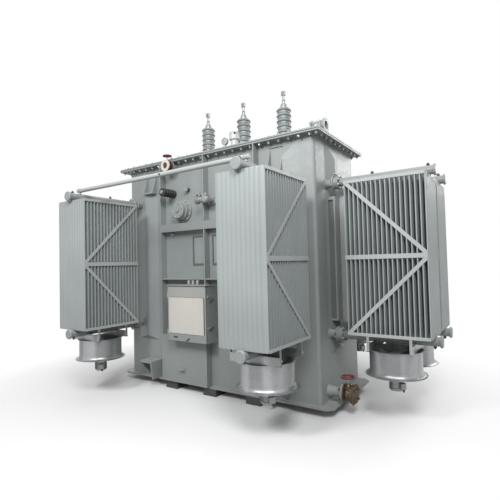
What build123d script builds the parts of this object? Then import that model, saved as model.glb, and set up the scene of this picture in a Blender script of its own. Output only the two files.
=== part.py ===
from build123d import *
import os

# Power transformer with six fan-cooled radiators.
# Millimetres. The origin is on the ground under the middle of the tank, +X runs to the right
# along the control side, +Y goes back and +Z is up.

os.makedirs("parts", exist_ok=True)

# Skids and base plate
skid_height = 90
skid_width = 200
skid_spacing = 640
base_thickness = 20
base_overhang_x = 136
base_overhang_y = 50
base_corner_cut = 70

# Tank, rim and cover
tank_length = 2917
tank_width = 1160
cover_top = 3010
cover_thickness = 20
rim_thickness = 20
rim_overhang = 100

# Flat stiffeners on the long walls
flat_depth = 100
flat_thickness = 16
flat_spacing = 750
band_height = 100
band_center = 2100
ledge_gap = 77

# Bent-plate stiffeners
bent_center = 1090
bent_width = 390
end_bent_center = -120
bent_depth = 48
bent_bottom = 600
bent_taper = 170
bent_foot_taper = 60
bent_ridge = 12
bent_top_gap = 20

# Duct on the end wall
duct_center = -200
duct_width = 140
duct_depth = 90
duct_bottom = 960
duct_top = 2330
duct_lip = 18
duct_recess = 12

# Lower box on the front wall
box_top = 700
box_handle_height = 290
box_handle_bar = 14
box_handle_length = 90
box_handle_reach = 45

# Control cabinet
cabinet_left = -485
cabinet_width = 620
cabinet_bottom = 671
cabinet_height = 684
cabinet_front = 830
cabinet_wall = 4
cabinet_bar_gap = 2
door_thickness = 28
door_gap = 5
lid_overhang = 14
lid_thickness = 10
hinge_radius = 9
hinge_pin_radius = 5
hinge_clearance = 0.1
hinge_end_gap = 0.3
hinge_offset = 15
hinge_length = 50
hinge_leaf = 5
hinge_block = 12
hinge_shares = (0.12, 0.8)
latch_width = 60
latch_height = 22
latch_depth = 14
latch_shares = (0.25, 0.8)
gland_radius = 20
gland_height = 55
gland_spacing = 70
gland_count = 3
gland_center = -130

# Nameplate frames
plate_width = 205
plate_height = 370
plate_left = -226
plate_gap = 110
plate_bottom = 1608
plate_rim = 20
plate_rim_depth = 14
plate_sheet = 4

# Tap-changer head, plug connector and sampling fittings on the front wall
tap_center_x = -415
tap_center_z = 2316
tap_flange_radius = 145
tap_flange_depth = 26
tap_neck_radius = 120
tap_neck_depth = 70
tap_cap_radius = 98
tap_cap_depth = 54
tap_dome_radius = 30
tap_dome_depth = 12
plug_x = -590
plug_z = 2560
plug_radius = 55
plug_core_radius = 42
plug_rib = 22
plug_ribs = 5
plug_nose_radius = 24
plug_nose_length = 18
nozzle_x = -330
nozzle_z = 2590
nozzle_radius = 26
nozzle_cap_radius = 34
nozzle_depth = 36
nozzle_cap_depth = 24
sample_x = 85
sample_z = 2405
sample_radius = 34
sample_flange_radius = 58
sample_depth = 60
sample_barrel_left = -30
sample_barrel_radius = 40
sample_barrel_flange = 52
sample_flange_depth = 22
sample_branch_x = -110
sample_branch_z = 2476

# Lifting lugs and jacking pads
lug_width = 190
lug_top = 2900
lug_height = 300
lug_reach = 90
lug_plate = 20
jack_center = 970
jack_width = 220
jack_reach = 200
jack_top = 345
jack_plate = 24
jack_web_share = 0.85
jack_hole_radius = 22

# Filter valve and drain valve
valve_bore_radius = 25
valve_pipe_radius = 38
valve_flange_radius = 75
valve_flange_depth = 18
valve_body_radius = 48
valve_body_depth = 62
valve_bolt_circle = 110
valve_bolt_count = 4
valve_bolt_radius = 9
filter_x = -548
filter_z = 2905
filter_stub = 104
drain_y = -370
drain_z = 220
drain_stub = 150
drain_scale = 1.3
bonnet_radius = 30
bonnet_height = 78
stem_radius = 11
stem_height = 62
wheel_radius = 58
wheel_rim = 11
wheel_thickness = 14
wheel_hub_radius = 17
wheel_spoke = 9
wheel_spokes = 5
wheel_facets = 20
wheel_clearance = 0.3

# Bushings
bushing_spacing = 650
bushing_offset_x = 35
bushing_y = 203
bushing_flange_radius = 120
bushing_flange_height = 60
bushing_trunk_radius = 80
shed_low_share = 0.3
shed_tip_share = 0.62
bushing_shed_radius = 100
bushing_sheds = 8
bushing_porcelain_height = 586
bushing_cap_radius = 52
bushing_cap_height = 70
bushing_collar_radius = 24
bushing_collar_height = 30
terminal_radius = 15
terminal_length = 80
terminal_block_width = 56
terminal_block_depth = 36
terminal_block_height = 60
terminal_hole_radius = 6.5
terminal_hole_spacing = 30

# Relief valve, dial gauge and flanged pipe on the cover
relief_x = 408
relief_inset = 30
relief_flange_radius = 62
relief_flange_height = 20
relief_body_radius = 48
relief_body_height = 82
relief_hat_radius = 58
relief_hat_height = 100
gauge_x = 271
gauge_inset = 20
gauge_post_radius = 16
gauge_post_height = 103
gauge_radius = 45
gauge_depth = 34
pipe_length = 170
pipe_inset = 68.5
pipe_y = -300
pipe_radius = 52
pipe_body_radius = 66
pipe_body_length = 80
pipe_bore_radius = 44
pipe_flange_radius = 80
pipe_flange_depth = 20
pipe_height = 120
pipe_foot = 40
pipe_bolt_circle = 128
pipe_bolt_radius = 7
pipe_bolt_count = 4

# Radiators: a stack of pressed panels hung between two header pipes
front_radiator_x = 1240
end_radiator_y = 296
stack_gap = 298
panel_count = 18
panel_pitch = 45
panel_thickness = 20
panel_width = 520
panel_bottom = 868
panel_top = 2422
panel_corner = 60
header_radius = 45
header_cap_radius = 52
header_cap_depth = 22
header_overrun = 50
header_valve_start = 96
header_flange_radius = 82
header_flange_depth = 16
header_valve_radius = 68
header_valve_depth = 38
brace_width = 50
brace_thickness = 6
weld_gap = 0.3

# Tie bars over the front and back radiators
tie_radius = 24
tie_post_radius = 14
tie_post_height = 16
tie_distance = 960
tie_overrun = 40

# Fans
fan_radius = 252
fan_wall = 5
fan_bottom = 478
fan_top = 720
fan_flare_radius = 295
fan_flare_height = 50
support_width = 40
support_height = 28
support_spacing = 400
support_plate = 6
motor_radius = 72
motor_bottom = 310
motor_top = 594
motor_arm_width = 30
motor_arm_height = 24
motor_arms = 4
shaft_radius = 14
shaft_top = 620
hub_radius = 72
hub_bottom = 600
hub_top = 668
hub_nose_radius = 50
hub_nose_height = 16
blade_count = 6
blade_thickness = 5
blade_tip_gap = 12
blade_root_width = 84
blade_tip_width = 128
blade_camber = 12
blade_angle = 30
blade_root_share = 0.8
shaft_clearance = 0.1
shaft_end_gap = 0.3

# One overrun serves every cut
overrun = 10

# Places that follow from the sizes above
base_top = skid_height + base_thickness
base_length = tank_length + 2 * base_overhang_x
base_width = tank_width + 2 * base_overhang_y
cover_bottom = cover_top - cover_thickness
rim_bottom = cover_bottom - rim_thickness
cover_length = tank_length + 2 * rim_overhang
cover_width = tank_width + 2 * rim_overhang
wall_x = tank_length / 2
wall_y = tank_width / 2
relief_y = relief_inset - wall_y
gauge_y = gauge_inset - wall_y
flat_front = wall_y + flat_depth
cabinet_right = cabinet_left + cabinet_width
cabinet_back = flat_front + cabinet_bar_gap
cabinet_top = cabinet_bottom + cabinet_height
ledge_center = cabinet_top + ledge_gap
lug_center = bent_center + bent_ridge / 2 - lug_width / 2
pipe_end = cover_length / 2 - pipe_inset
pipe_start = pipe_end - pipe_length
hinge_x = cabinet_left + door_gap - hinge_offset
hinge_y = -cabinet_front + (door_thickness - door_gap) / 2
panel_middle = (panel_bottom + panel_top) / 2
stack_depth = (panel_count - 1) * panel_pitch + panel_thickness
stack_end = stack_gap + stack_depth
stack_middle = stack_gap + stack_depth / 2
top_header_z = panel_top + header_radius
bottom_header_z = panel_bottom - header_radius
tie_post_bottom = top_header_z + header_radius
tie_height = tie_post_bottom + tie_post_height + weld_gap + tie_radius

front = Vector(0, -1, 0)
back = Vector(0, 1, 0)
right = Vector(1, 0, 0)
up = Vector(0, 0, 1)


def finish(part, name):
    """Label a finished piece and write it to its own file."""
    part.part.label = name
    export_step(part.part, f"parts/{name}.step")


def wall_plane(x, y, outward):
    """A plane on a wall at ground level: local x along the wall, y up, normal pointing out."""
    return Plane(origin=(x, y, 0), x_dir=up.cross(outward), z_dir=outward)


def side_plane(wall):
    """The upright plane square to a wall: local x points out from the wall, y up."""
    return Plane(origin=wall.origin, x_dir=wall.z_dir, z_dir=wall.z_dir.cross(up))


def box(x_range, y_range, z_range, mode=Mode.ADD):
    """A plain block between two corners, in the builder that is open."""
    with Locations(((x_range[0] + x_range[1]) / 2, (y_range[0] + y_range[1]) / 2, z_range[0])):
        Box(
            x_range[1] - x_range[0],
            y_range[1] - y_range[0],
            z_range[1] - z_range[0],
            align=(Align.CENTER, Align.CENTER, Align.MIN),
            mode=mode,
        )


def outline(points, *planes):
    """A closed outline through the points, drawn on each plane."""
    with BuildSketch(*planes) as sketch:
        with BuildLine():
            Polyline(*points, close=True)
        make_face()
    return sketch.sketch


def turned(plane, steps):
    """Turn a stepped shaft about the plane's local x axis, from (length, radius) steps."""
    points = [(0, 0)]
    reach = 0
    for length, radius in steps:
        points.append((reach, radius))
        reach += length
        points.append((reach, radius))
    points.append((reach, 0))
    revolve(outline(points, plane), axis=Axis(plane.origin, plane.x_dir))


def axis_plane(x, y, z, outward):
    """The plane through an axis that points outward, for turned pieces."""
    across = outward.cross(up) if abs(outward.dot(up)) < 1 else right.cross(up)
    return Plane(origin=(x, y, z), x_dir=outward, z_dir=across)


# Radiator seats on the walls, in pairs
front_seats = [wall_plane(x, -wall_y, front) for x in (-front_radiator_x, front_radiator_x)]
back_seats = [wall_plane(x, wall_y, back) for x in (-front_radiator_x, front_radiator_x)]
end_seats = [wall_plane(wall_x, y, right) for y in (-end_radiator_y, end_radiator_y)]
seat_groups = {"front": front_seats, "back": back_seats, "end": end_seats}


def corner_walls(center_x):
    """Wall planes near the four corners of the long walls."""
    walls = [wall_plane(x, -wall_y, front) for x in (-center_x, center_x)]
    return walls + [wall_plane(x, wall_y, back) for x in (-center_x, center_x)]


def make_skids():
    """Three cross beams that the base plate stands on."""
    with BuildPart() as skids:
        for x in (-skid_spacing, 0, skid_spacing):
            box(
                (x - skid_width / 2, x + skid_width / 2),
                (-base_width / 2, base_width / 2),
                (0, skid_height),
            )
    finish(skids, "skids")


def make_base_plate():
    """Flat plate under the tank with its corners cut off."""
    with BuildPart() as base_plate:
        with BuildSketch(Plane.XY.offset(skid_height)) as outline:
            Rectangle(base_length, base_width)
            chamfer(outline.vertices(), base_corner_cut)
        extrude(amount=base_thickness)
    finish(base_plate, "base_plate")


def make_tank():
    """The oil-filled tank, up to the underside of the cover."""
    with BuildPart() as tank:
        with BuildSketch(Plane.XY.offset(base_top)):
            Rectangle(tank_length, tank_width)
        extrude(amount=cover_bottom - base_top)
    finish(tank, "tank")


def make_tank_flange():
    """Rim plate welded round the top of the tank, under the cover."""
    with BuildPart() as tank_flange:
        with BuildSketch(Plane.XY.offset(rim_bottom)):
            Rectangle(cover_length, cover_width)
            Rectangle(tank_length, tank_width, mode=Mode.SUBTRACT)
        extrude(amount=rim_thickness)
    finish(tank_flange, "tank_flange")


def make_cover():
    """Flat cover bolted to the rim."""
    with BuildPart() as cover:
        with BuildSketch(Plane.XY.offset(cover_bottom)):
            Rectangle(cover_length, cover_width)
        extrude(amount=cover_thickness)
    finish(cover, "cover")


def make_long_wall_stiffeners(name, side):
    """Flat bars and the boxed band welded to a long wall; side is -1 in front, +1 behind."""
    near = side * wall_y
    far = side * flat_front
    depth = (min(near, far), max(near, far))
    half_bar = flat_thickness / 2
    with BuildPart() as stiffeners:
        for x in (-flat_spacing, 0, flat_spacing):
            box((x - half_bar, x + half_bar), depth, (base_top, rim_bottom))
        run = (-flat_spacing, flat_spacing)
        box(run, depth, (band_center - band_height / 2, band_center + band_height / 2))
        box(run, depth, (ledge_center - half_bar, ledge_center + half_bar))
    finish(stiffeners, name)


def bent_stiffener(wall):
    """One bent-plate stiffener with a sharp ridge that slopes back into the wall at both ends."""
    top = rim_bottom - bent_top_gap
    section = outline(
        [
            (-bent_width / 2, 0),
            (bent_width / 2, 0),
            (bent_ridge / 2, -bent_depth),
            (-bent_ridge / 2, -bent_depth),
        ],
        Plane(origin=wall.origin + up * bent_bottom, x_dir=wall.x_dir, z_dir=up),
    )
    side = outline(
        [
            (0, bent_bottom),
            (bent_depth, bent_bottom + bent_foot_taper),
            (bent_depth, top - bent_taper),
            (0, top),
        ],
        side_plane(wall),
    )
    body = extrude(section, amount=top - bent_bottom, mode=Mode.PRIVATE)
    profile = extrude(side, amount=bent_width, both=True, mode=Mode.PRIVATE)
    add(body & profile)


def make_bent_stiffeners():
    """Bent-plate stiffeners near the corners of the long walls and in the middle of the ends."""
    walls = corner_walls(bent_center)
    walls += [wall_plane(wall_x, end_bent_center, right), wall_plane(-wall_x, end_bent_center, -right)]
    reach = wall_y + lug_reach
    lug_side = lug_center + lug_width / 2 + weld_gap
    bent_side = bent_center - bent_width / 2 - overrun
    half_duct = duct_width / 2 + weld_gap
    header_hole = 2 * (header_radius + weld_gap)
    with BuildPart() as bent_stiffeners:
        for wall in walls:
            bent_stiffener(wall)
        for x_range in ((-lug_side, -bent_side), (bent_side, lug_side)):
            box(
                x_range,
                (-reach, reach),
                (lug_top - lug_height - weld_gap, lug_top + weld_gap),
                mode=Mode.SUBTRACT,
            )
        box(
            (wall_x, wall_x + duct_depth),
            (duct_center - half_duct, duct_center + half_duct),
            (duct_bottom - weld_gap, duct_top + weld_gap),
            mode=Mode.SUBTRACT,
        )
        for seat in front_seats + back_seats + end_seats:
            for height in (top_header_z, bottom_header_z):
                with Locations(Plane(origin=seat.origin + up * height, x_dir=seat.x_dir, z_dir=seat.z_dir)):
                    Box(header_hole, header_hole, 2 * bent_depth, mode=Mode.SUBTRACT)
    finish(bent_stiffeners, "bent_stiffeners")


def make_end_duct():
    """Shallow upright duct with a recessed lid on the right end wall."""
    with BuildPart() as end_duct:
        left = duct_center - duct_width / 2
        box((wall_x, wall_x + duct_depth), (left, left + duct_width), (duct_bottom, duct_top))
        box(
            (wall_x + duct_depth - duct_recess, wall_x + duct_depth + overrun),
            (left + duct_lip, left + duct_width - duct_lip),
            (duct_bottom + duct_lip, duct_top - duct_lip),
            mode=Mode.SUBTRACT,
        )
    finish(end_duct, "end_duct")


def make_lower_box():
    """Plate box between two stiffeners under the cabinet, with a T handle."""
    half_bar = flat_thickness / 2
    middle = -flat_spacing / 2
    with BuildPart() as lower_box:
        box(
            (-flat_spacing + half_bar, -half_bar),
            (-flat_front, -wall_y),
            (base_top, box_top),
        )
        with BuildSketch(Plane.XZ.offset(flat_front)):
            with Locations((middle, box_handle_height)):
                Rectangle(box_handle_bar, box_handle_bar)
        extrude(amount=box_handle_reach)
        with BuildSketch(Plane.XZ.offset(flat_front + box_handle_reach - box_handle_bar)):
            with Locations((middle, box_handle_height)):
                Rectangle(box_handle_length, box_handle_bar)
        extrude(amount=box_handle_bar)
    finish(lower_box, "lower_box")


def make_control_cabinet():
    """Open-fronted sheet cabinet with a lid that overhangs, latches and cable glands."""
    body_front = cabinet_front - door_thickness
    with BuildPart() as cabinet:
        box((cabinet_left, cabinet_right), (-body_front, -cabinet_back), (cabinet_bottom, cabinet_top))
        box(
            (cabinet_left + cabinet_wall, cabinet_right - cabinet_wall),
            (-body_front - overrun, -cabinet_back - cabinet_wall),
            (cabinet_bottom + cabinet_wall, cabinet_top - cabinet_wall),
            mode=Mode.SUBTRACT,
        )
        box(
            (cabinet_left - lid_overhang, cabinet_right + lid_overhang),
            (-cabinet_front - lid_overhang, -cabinet_back),
            (cabinet_top, cabinet_top + lid_thickness),
        )
        for share in latch_shares:
            height = cabinet_bottom + share * cabinet_height
            box(
                (cabinet_right, cabinet_right + latch_depth),
                (-body_front, -body_front + latch_width),
                (height, height + latch_height),
            )
        for share in hinge_shares:
            low = cabinet_bottom + share * cabinet_height
            high = low + hinge_length
            for z in (low - hinge_end_gap - hinge_block, high + hinge_end_gap):
                box(
                    (hinge_x - hinge_radius, cabinet_left),
                    (hinge_y - hinge_radius, -body_front + latch_width / 2),
                    (z, z + hinge_block),
                )
            with BuildSketch(Plane.XY.offset(low - hinge_end_gap)):
                with Locations((hinge_x, hinge_y)):
                    Circle(hinge_pin_radius)
            extrude(amount=hinge_length + 2 * hinge_end_gap)
        with BuildSketch(Plane.XY.offset(cabinet_top + lid_thickness)):
            with Locations((gland_center, -(cabinet_back + body_front) / 2)):
                with GridLocations(gland_spacing, 0, gland_count, 1):
                    RegularPolygon(gland_radius, 6)
        extrude(amount=gland_height)
    finish(cabinet, "control_cabinet")


def make_cabinet_brackets():
    """Boxed stand-offs between the wall and the cabinet, one each side of the middle bar."""
    half_bar = flat_thickness / 2
    depth = (-cabinet_back, -wall_y)
    with BuildPart() as brackets:
        box((cabinet_left, -half_bar), depth, (box_top, cabinet_top))
        box((half_bar, cabinet_right), depth, (cabinet_bottom, cabinet_top))
    finish(brackets, "cabinet_brackets")


def make_cabinet_door():
    """Shallow tray door hung on two knuckles at its left edge."""
    door_left = cabinet_left + door_gap
    door_right = cabinet_right - door_gap
    door_bottom = cabinet_bottom + door_gap
    door_top = cabinet_top - door_gap
    with BuildPart() as door:
        box(
            (door_left, door_right),
            (-cabinet_front, -cabinet_front + door_thickness - door_gap),
            (door_bottom, door_top),
        )
        for share in hinge_shares:
            low = cabinet_bottom + share * cabinet_height
            box(
                (hinge_x, door_left),
                (hinge_y - hinge_leaf / 2, hinge_y + hinge_leaf / 2),
                (low, low + hinge_length),
            )
            with BuildSketch(Plane.XY.offset(low)):
                with Locations((hinge_x, hinge_y)):
                    Circle(hinge_radius)
            extrude(amount=hinge_length)
            with BuildSketch(Plane.XY.offset(low)):
                with Locations((hinge_x, hinge_y)):
                    Circle(hinge_pin_radius + hinge_clearance)
            extrude(amount=hinge_length, mode=Mode.SUBTRACT)
    finish(door, "cabinet_door")


def make_nameplate_frames():
    """Two blank plates in raised frames on short posts from the wall."""
    with BuildPart() as frames:
        for left in (plate_left, plate_left + plate_width + plate_gap):
            x_range = (left, left + plate_width)
            z_range = (plate_bottom, plate_bottom + plate_height)
            box(x_range, (-wall_y - plate_rim_depth, -wall_y), z_range)
            box(
                (left + plate_rim, left + plate_width - plate_rim),
                (-wall_y - plate_rim_depth - overrun, -wall_y - plate_sheet),
                (plate_bottom + plate_rim, plate_bottom + plate_height - plate_rim),
                mode=Mode.SUBTRACT,
            )
    finish(frames, "nameplate_frames")


def make_tap_changer_head():
    """Flanged head of the tap changer with a smaller turned cap."""
    with BuildPart() as tap_changer_head:
        turned(
            axis_plane(tap_center_x, -wall_y, tap_center_z, front),
            [
                (tap_flange_depth, tap_flange_radius),
                (tap_neck_depth, tap_neck_radius),
                (tap_cap_depth, tap_cap_radius),
                (tap_dome_depth, tap_dome_radius),
            ],
        )
    finish(tap_changer_head, "tap_changer_head")


def make_plug_connector():
    """Ribbed plug connector that stands out from the front wall."""
    steps = []
    for rib in range(plug_ribs):
        steps += [(plug_rib, plug_core_radius), (plug_rib, plug_radius)]
    steps.append((plug_nose_length, plug_nose_radius))
    with BuildPart() as plug_connector:
        turned(axis_plane(plug_x, -wall_y, plug_z, front), steps)
    finish(plug_connector, "plug_connector")


def make_sampling_fittings():
    """A sampling valve that crosses in front of the middle bar, a cock and a capped nozzle."""
    barrel_y = -flat_front - sample_barrel_flange
    with BuildPart() as sampling_fittings:
        turned(
            axis_plane(sample_x, -wall_y, sample_z, front),
            [
                (sample_flange_depth, sample_flange_radius),
                (-barrel_y - wall_y - sample_flange_depth, sample_radius),
            ],
        )
        turned(
            axis_plane(sample_x + sample_radius, barrel_y, sample_z, -right),
            [
                (sample_x + sample_radius - sample_barrel_left, sample_barrel_radius),
                (sample_flange_depth, sample_barrel_flange),
            ],
        )
        turned(
            axis_plane(sample_branch_x, -wall_y, sample_branch_z, front),
            [(sample_depth, sample_radius), (sample_flange_depth, sample_barrel_radius)],
        )
        turned(
            axis_plane(nozzle_x, -wall_y, nozzle_z, front),
            [(nozzle_depth, nozzle_radius), (nozzle_cap_depth, nozzle_cap_radius)],
        )
    finish(sampling_fittings, "sampling_fittings")


def make_lifting_lugs():
    """Lifting lugs near the top corners: two pointed gussets on a bottom plate."""
    shelf = lug_top - lug_height
    gusset = [(0, lug_top), (lug_reach, shelf + lug_plate), (0, shelf + lug_plate)]
    with BuildPart() as lifting_lugs:
        for wall in corner_walls(lug_center):
            side = side_plane(wall)
            first = side.offset(lug_width / 2 - lug_plate)
            second = side.offset(-lug_width / 2)
            extrude(outline(gusset, first, second), amount=lug_plate)
            half = lug_width / 2
            plate = [(-half, shelf), (half, shelf), (half, shelf + lug_plate), (-half, shelf + lug_plate)]
            extrude(outline(plate, wall), amount=lug_reach)
    finish(lifting_lugs, "lifting_lugs")


def make_jacking_pads():
    """Jacking pads near the bottom corners: a top plate on a pointed gusset and a deep web."""
    under = jack_top - jack_plate
    half = jack_width / 2
    gusset = [(0, base_top), (jack_reach, under), (0, under)]
    web = [(0, base_top), (jack_reach * jack_web_share, base_top), (jack_reach, under), (0, under)]
    plate = [(-half, under), (half, under), (half, jack_top), (-half, jack_top)]
    with BuildPart() as jacking_pads:
        for wall in corner_walls(jack_center):
            side = side_plane(wall)
            outward = side.z_dir.X * wall.origin.X > 0
            outer = side.offset(half - jack_plate if outward else -half)
            inner = side.offset(-half if outward else half - jack_plate)
            extrude(outline(gusset, outer), amount=jack_plate)
            extrude(outline(web, inner), amount=jack_plate)
            extrude(outline(plate, wall), amount=jack_reach)
            middle = wall.origin + wall.z_dir * jack_reach / 2 + up * jack_top
            with Locations(Plane(origin=middle, z_dir=up)):
                Hole(jack_hole_radius, depth=jack_plate)
    finish(jacking_pads, "jacking_pads")


def flanged_valve(seat, stub, scale):
    """A bored globe valve on a wall stub, with its bonnet upright. Returns the bonnet's place."""
    out = seat.x_dir
    flange = valve_flange_depth * scale
    body = valve_body_depth * scale
    turned(
        seat,
        [
            (stub, valve_pipe_radius * scale),
            (flange, valve_flange_radius * scale),
            (body, valve_body_radius * scale),
            (flange, valve_flange_radius * scale),
        ],
    )
    center = seat.origin + out * (stub + flange + body / 2)
    turned(
        axis_plane(center.X, center.Y, center.Z, up),
        [(bonnet_height * scale, bonnet_radius * scale)],
    )
    return center


def make_oil_valves():
    """The filter valve under the cover's front edge and the drain valve on the right end."""
    filter_seat = axis_plane(filter_x, -wall_y, filter_z, front)
    drain_seat = axis_plane(wall_x, drain_y, drain_z, right)
    filter_reach = filter_stub + 2 * valve_flange_depth + valve_body_depth
    with BuildPart() as oil_valves:
        flanged_valve(filter_seat, filter_stub, 1)
        flanged_valve(drain_seat, drain_stub, drain_scale)
        mouth = filter_seat.origin + front * filter_reach
        with Locations(Plane(origin=mouth, z_dir=front)):
            Hole(valve_bore_radius, depth=filter_reach)
        with Locations(Plane(origin=mouth, x_dir=right, z_dir=front)):
            with PolarLocations(valve_bolt_circle / 2, valve_bolt_count, start_angle=45):
                Hole(valve_bolt_radius, depth=valve_flange_depth)
    finish(oil_valves, "oil_valves")


def make_handwheel(name, seat, stub, scale):
    """A spoked handwheel with its stem, seated on a valve's bonnet."""
    reach = stub + (valve_flange_depth + valve_body_depth / 2) * scale
    center = seat.origin + seat.x_dir * reach
    bottom = center + up * (bonnet_height * scale + wheel_clearance)
    rim_height = (stem_height - wheel_thickness) * scale
    plane = Plane(origin=bottom, x_dir=right, z_dir=up)
    with BuildPart() as handwheel:
        with BuildSketch(plane):
            Circle(stem_radius * scale)
        extrude(amount=stem_height * scale)
        with BuildSketch(plane.offset(rim_height)):
            RegularPolygon(wheel_radius * scale, wheel_facets)
            RegularPolygon((wheel_radius - wheel_rim) * scale, wheel_facets, mode=Mode.SUBTRACT)
            RegularPolygon(wheel_hub_radius * scale, wheel_spokes)
            with PolarLocations(wheel_radius * scale / 2, wheel_spokes):
                Rectangle(wheel_radius * scale - wheel_rim * scale, wheel_spoke * scale)
        extrude(amount=wheel_thickness * scale)
    finish(handwheel, name)


def make_bushings():
    """Three porcelain bushings in a row, with their flanges, caps and terminals."""
    places = [
        (bushing_offset_x + step * bushing_spacing, bushing_y) for step in (-1, 0, 1)
    ]
    porcelain_bottom = cover_top + bushing_flange_height
    cap_bottom = porcelain_bottom + bushing_porcelain_height
    block_bottom = cap_bottom + bushing_cap_height + bushing_collar_height + terminal_length
    with BuildPart() as bushing_flanges:
        for x, y in places:
            turned(
                axis_plane(x, y, cover_top, up),
                [
                    (bushing_flange_height / 2, bushing_flange_radius),
                    (bushing_flange_height / 2, bushing_shed_radius),
                ],
            )
    finish(bushing_flanges, "bushing_flanges")
    pitch = bushing_porcelain_height / bushing_sheds
    points = [(0, 0), (0, bushing_trunk_radius)]
    for shed in range(bushing_sheds):
        low = shed * pitch
        points += [
            (low + pitch * shed_low_share, bushing_trunk_radius),
            (low + pitch * shed_tip_share, bushing_shed_radius),
        ]
    points += [(bushing_porcelain_height, bushing_trunk_radius), (bushing_porcelain_height, 0)]
    with BuildPart() as bushing_porcelains:
        for x, y in places:
            plane = axis_plane(x, y, porcelain_bottom, up)
            revolve(outline(points, plane), axis=Axis(plane.origin, plane.x_dir))
    finish(bushing_porcelains, "bushing_porcelains")
    with BuildPart() as bushing_terminals:
        for x, y in places:
            turned(
                axis_plane(x, y, cap_bottom, up),
                [
                    (bushing_cap_height, bushing_cap_radius),
                    (bushing_collar_height, bushing_collar_radius),
                    (terminal_length, terminal_radius),
                ],
            )
            box(
                (x - terminal_block_width / 2, x + terminal_block_width / 2),
                (y - terminal_block_depth / 2, y + terminal_block_depth / 2),
                (block_bottom, block_bottom + terminal_block_height),
            )
            front_face = (x, y - terminal_block_depth / 2, block_bottom + terminal_block_height / 2)
            with Locations(Plane(origin=front_face, x_dir=right, z_dir=front)):
                with GridLocations(0, terminal_hole_spacing, 1, 2):
                    Hole(terminal_hole_radius, depth=terminal_block_depth)
    finish(bushing_terminals, "bushing_terminals")


def make_relief_valve():
    """Pressure relief valve: a flange, a round body and a wider hat."""
    with BuildPart() as relief_valve:
        turned(
            axis_plane(relief_x, relief_y, cover_top, up),
            [
                (relief_flange_height, relief_flange_radius),
                (relief_body_height, relief_body_radius),
                (relief_hat_height, relief_hat_radius),
            ],
        )
    finish(relief_valve, "relief_valve")


def make_dial_gauge():
    """A round dial on a short post, facing front."""
    with BuildPart() as dial_gauge:
        turned(
            axis_plane(gauge_x, gauge_y, cover_top, up),
            [(gauge_post_height, gauge_post_radius)],
        )
        turned(
            axis_plane(gauge_x, gauge_y + gauge_depth / 2, cover_top + gauge_post_height, front),
            [(gauge_depth, gauge_radius)],
        )
    finish(dial_gauge, "dial_gauge")


def make_cover_pipe():
    """Flanged valve that lies along the cover and faces its right edge."""
    seat = axis_plane(pipe_start, pipe_y, cover_top + pipe_height, right)
    mouth = seat.origin + right * pipe_length
    neck = (pipe_length - pipe_body_length) / 2 - pipe_flange_depth
    with BuildPart() as cover_pipe:
        turned(
            seat,
            [
                (pipe_flange_depth, pipe_flange_radius),
                (neck, pipe_radius),
                (pipe_body_length, pipe_body_radius),
                (neck, pipe_radius),
                (pipe_flange_depth, pipe_flange_radius),
            ],
        )
        box(
            (pipe_start + pipe_length / 2 - pipe_foot, pipe_start + pipe_length / 2 + pipe_foot),
            (pipe_y - pipe_foot, pipe_y + pipe_foot),
            (cover_top, cover_top + pipe_height),
        )
        with Locations(Plane(origin=mouth, z_dir=right)):
            Hole(pipe_bore_radius, depth=pipe_length - pipe_flange_depth)
        with Locations(Plane(origin=mouth, x_dir=back, z_dir=right)):
            with PolarLocations(pipe_bolt_circle / 2, pipe_bolt_count, start_angle=45):
                Hole(pipe_bolt_radius, depth=pipe_flange_depth)
    finish(cover_pipe, "cover_pipe")


def make_panels(group, seats):
    """The pressed panels of a pair of radiators, as separate plates."""
    half = panel_width / 2
    with BuildPart() as panels:
        for seat in seats:
            planes = [
                seat.offset(stack_gap + index * panel_pitch) for index in range(panel_count)
            ]
            plate = outline(
                [
                    (-half, panel_bottom + panel_corner),
                    (-half + panel_corner, panel_bottom),
                    (half - panel_corner, panel_bottom),
                    (half, panel_bottom + panel_corner),
                    (half, panel_top - panel_corner),
                    (half - panel_corner, panel_top),
                    (-half + panel_corner, panel_top),
                    (-half, panel_top - panel_corner),
                ],
                *planes,
            )
            extrude(plate, amount=panel_thickness)
    finish(panels, f"{group}_radiator_panels")


def make_headers(group, seats):
    """Top and bottom header pipes with a butterfly valve near the wall and an end cap."""
    flange = (header_flange_depth, header_flange_radius)
    valve_end = header_valve_start + 2 * header_flange_depth + header_valve_depth
    steps = [
        (header_valve_start, header_radius),
        flange,
        (header_valve_depth, header_valve_radius),
        flange,
        (stack_end + header_overrun - header_cap_depth - valve_end, header_radius),
        (header_cap_depth, header_cap_radius),
    ]
    with BuildPart() as headers:
        for seat in seats:
            for height in (top_header_z, bottom_header_z):
                place = seat.origin + up * height
                turned(axis_plane(place.X, place.Y, place.Z, seat.z_dir), steps)
    finish(headers, f"{group}_radiator_headers")


def make_braces(group, seats):
    """Flat bars on both sides of each stack: top and bottom rails, a middle bar and a K."""
    half = brace_width / 2
    inner = stack_gap
    outer = stack_end
    bars = []
    for low in (panel_top - brace_width, panel_middle - half, panel_bottom):
        bars.append([(inner, low), (outer, low), (outer, low + brace_width), (inner, low + brace_width)])
    for rail, middle in (
        (panel_top - brace_width - weld_gap, panel_middle + half + weld_gap),
        (panel_bottom + brace_width + weld_gap, panel_middle - half - weld_gap),
    ):
        slant = Vector(outer - inner - brace_width, rail - middle)
        foot = brace_width * slant.length / abs(slant.Y)
        bars.append([(inner, rail), (inner + foot, rail), (outer, middle), (outer - foot, middle)])
    with BuildPart() as braces:
        for seat in seats:
            side = side_plane(seat)
            near = side.offset(panel_width / 2)
            far = side.offset(-panel_width / 2 - brace_thickness)
            for bar in bars:
                extrude(outline(bar, near, far), amount=brace_thickness)
    finish(braces, f"{group}_radiator_braces")


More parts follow.
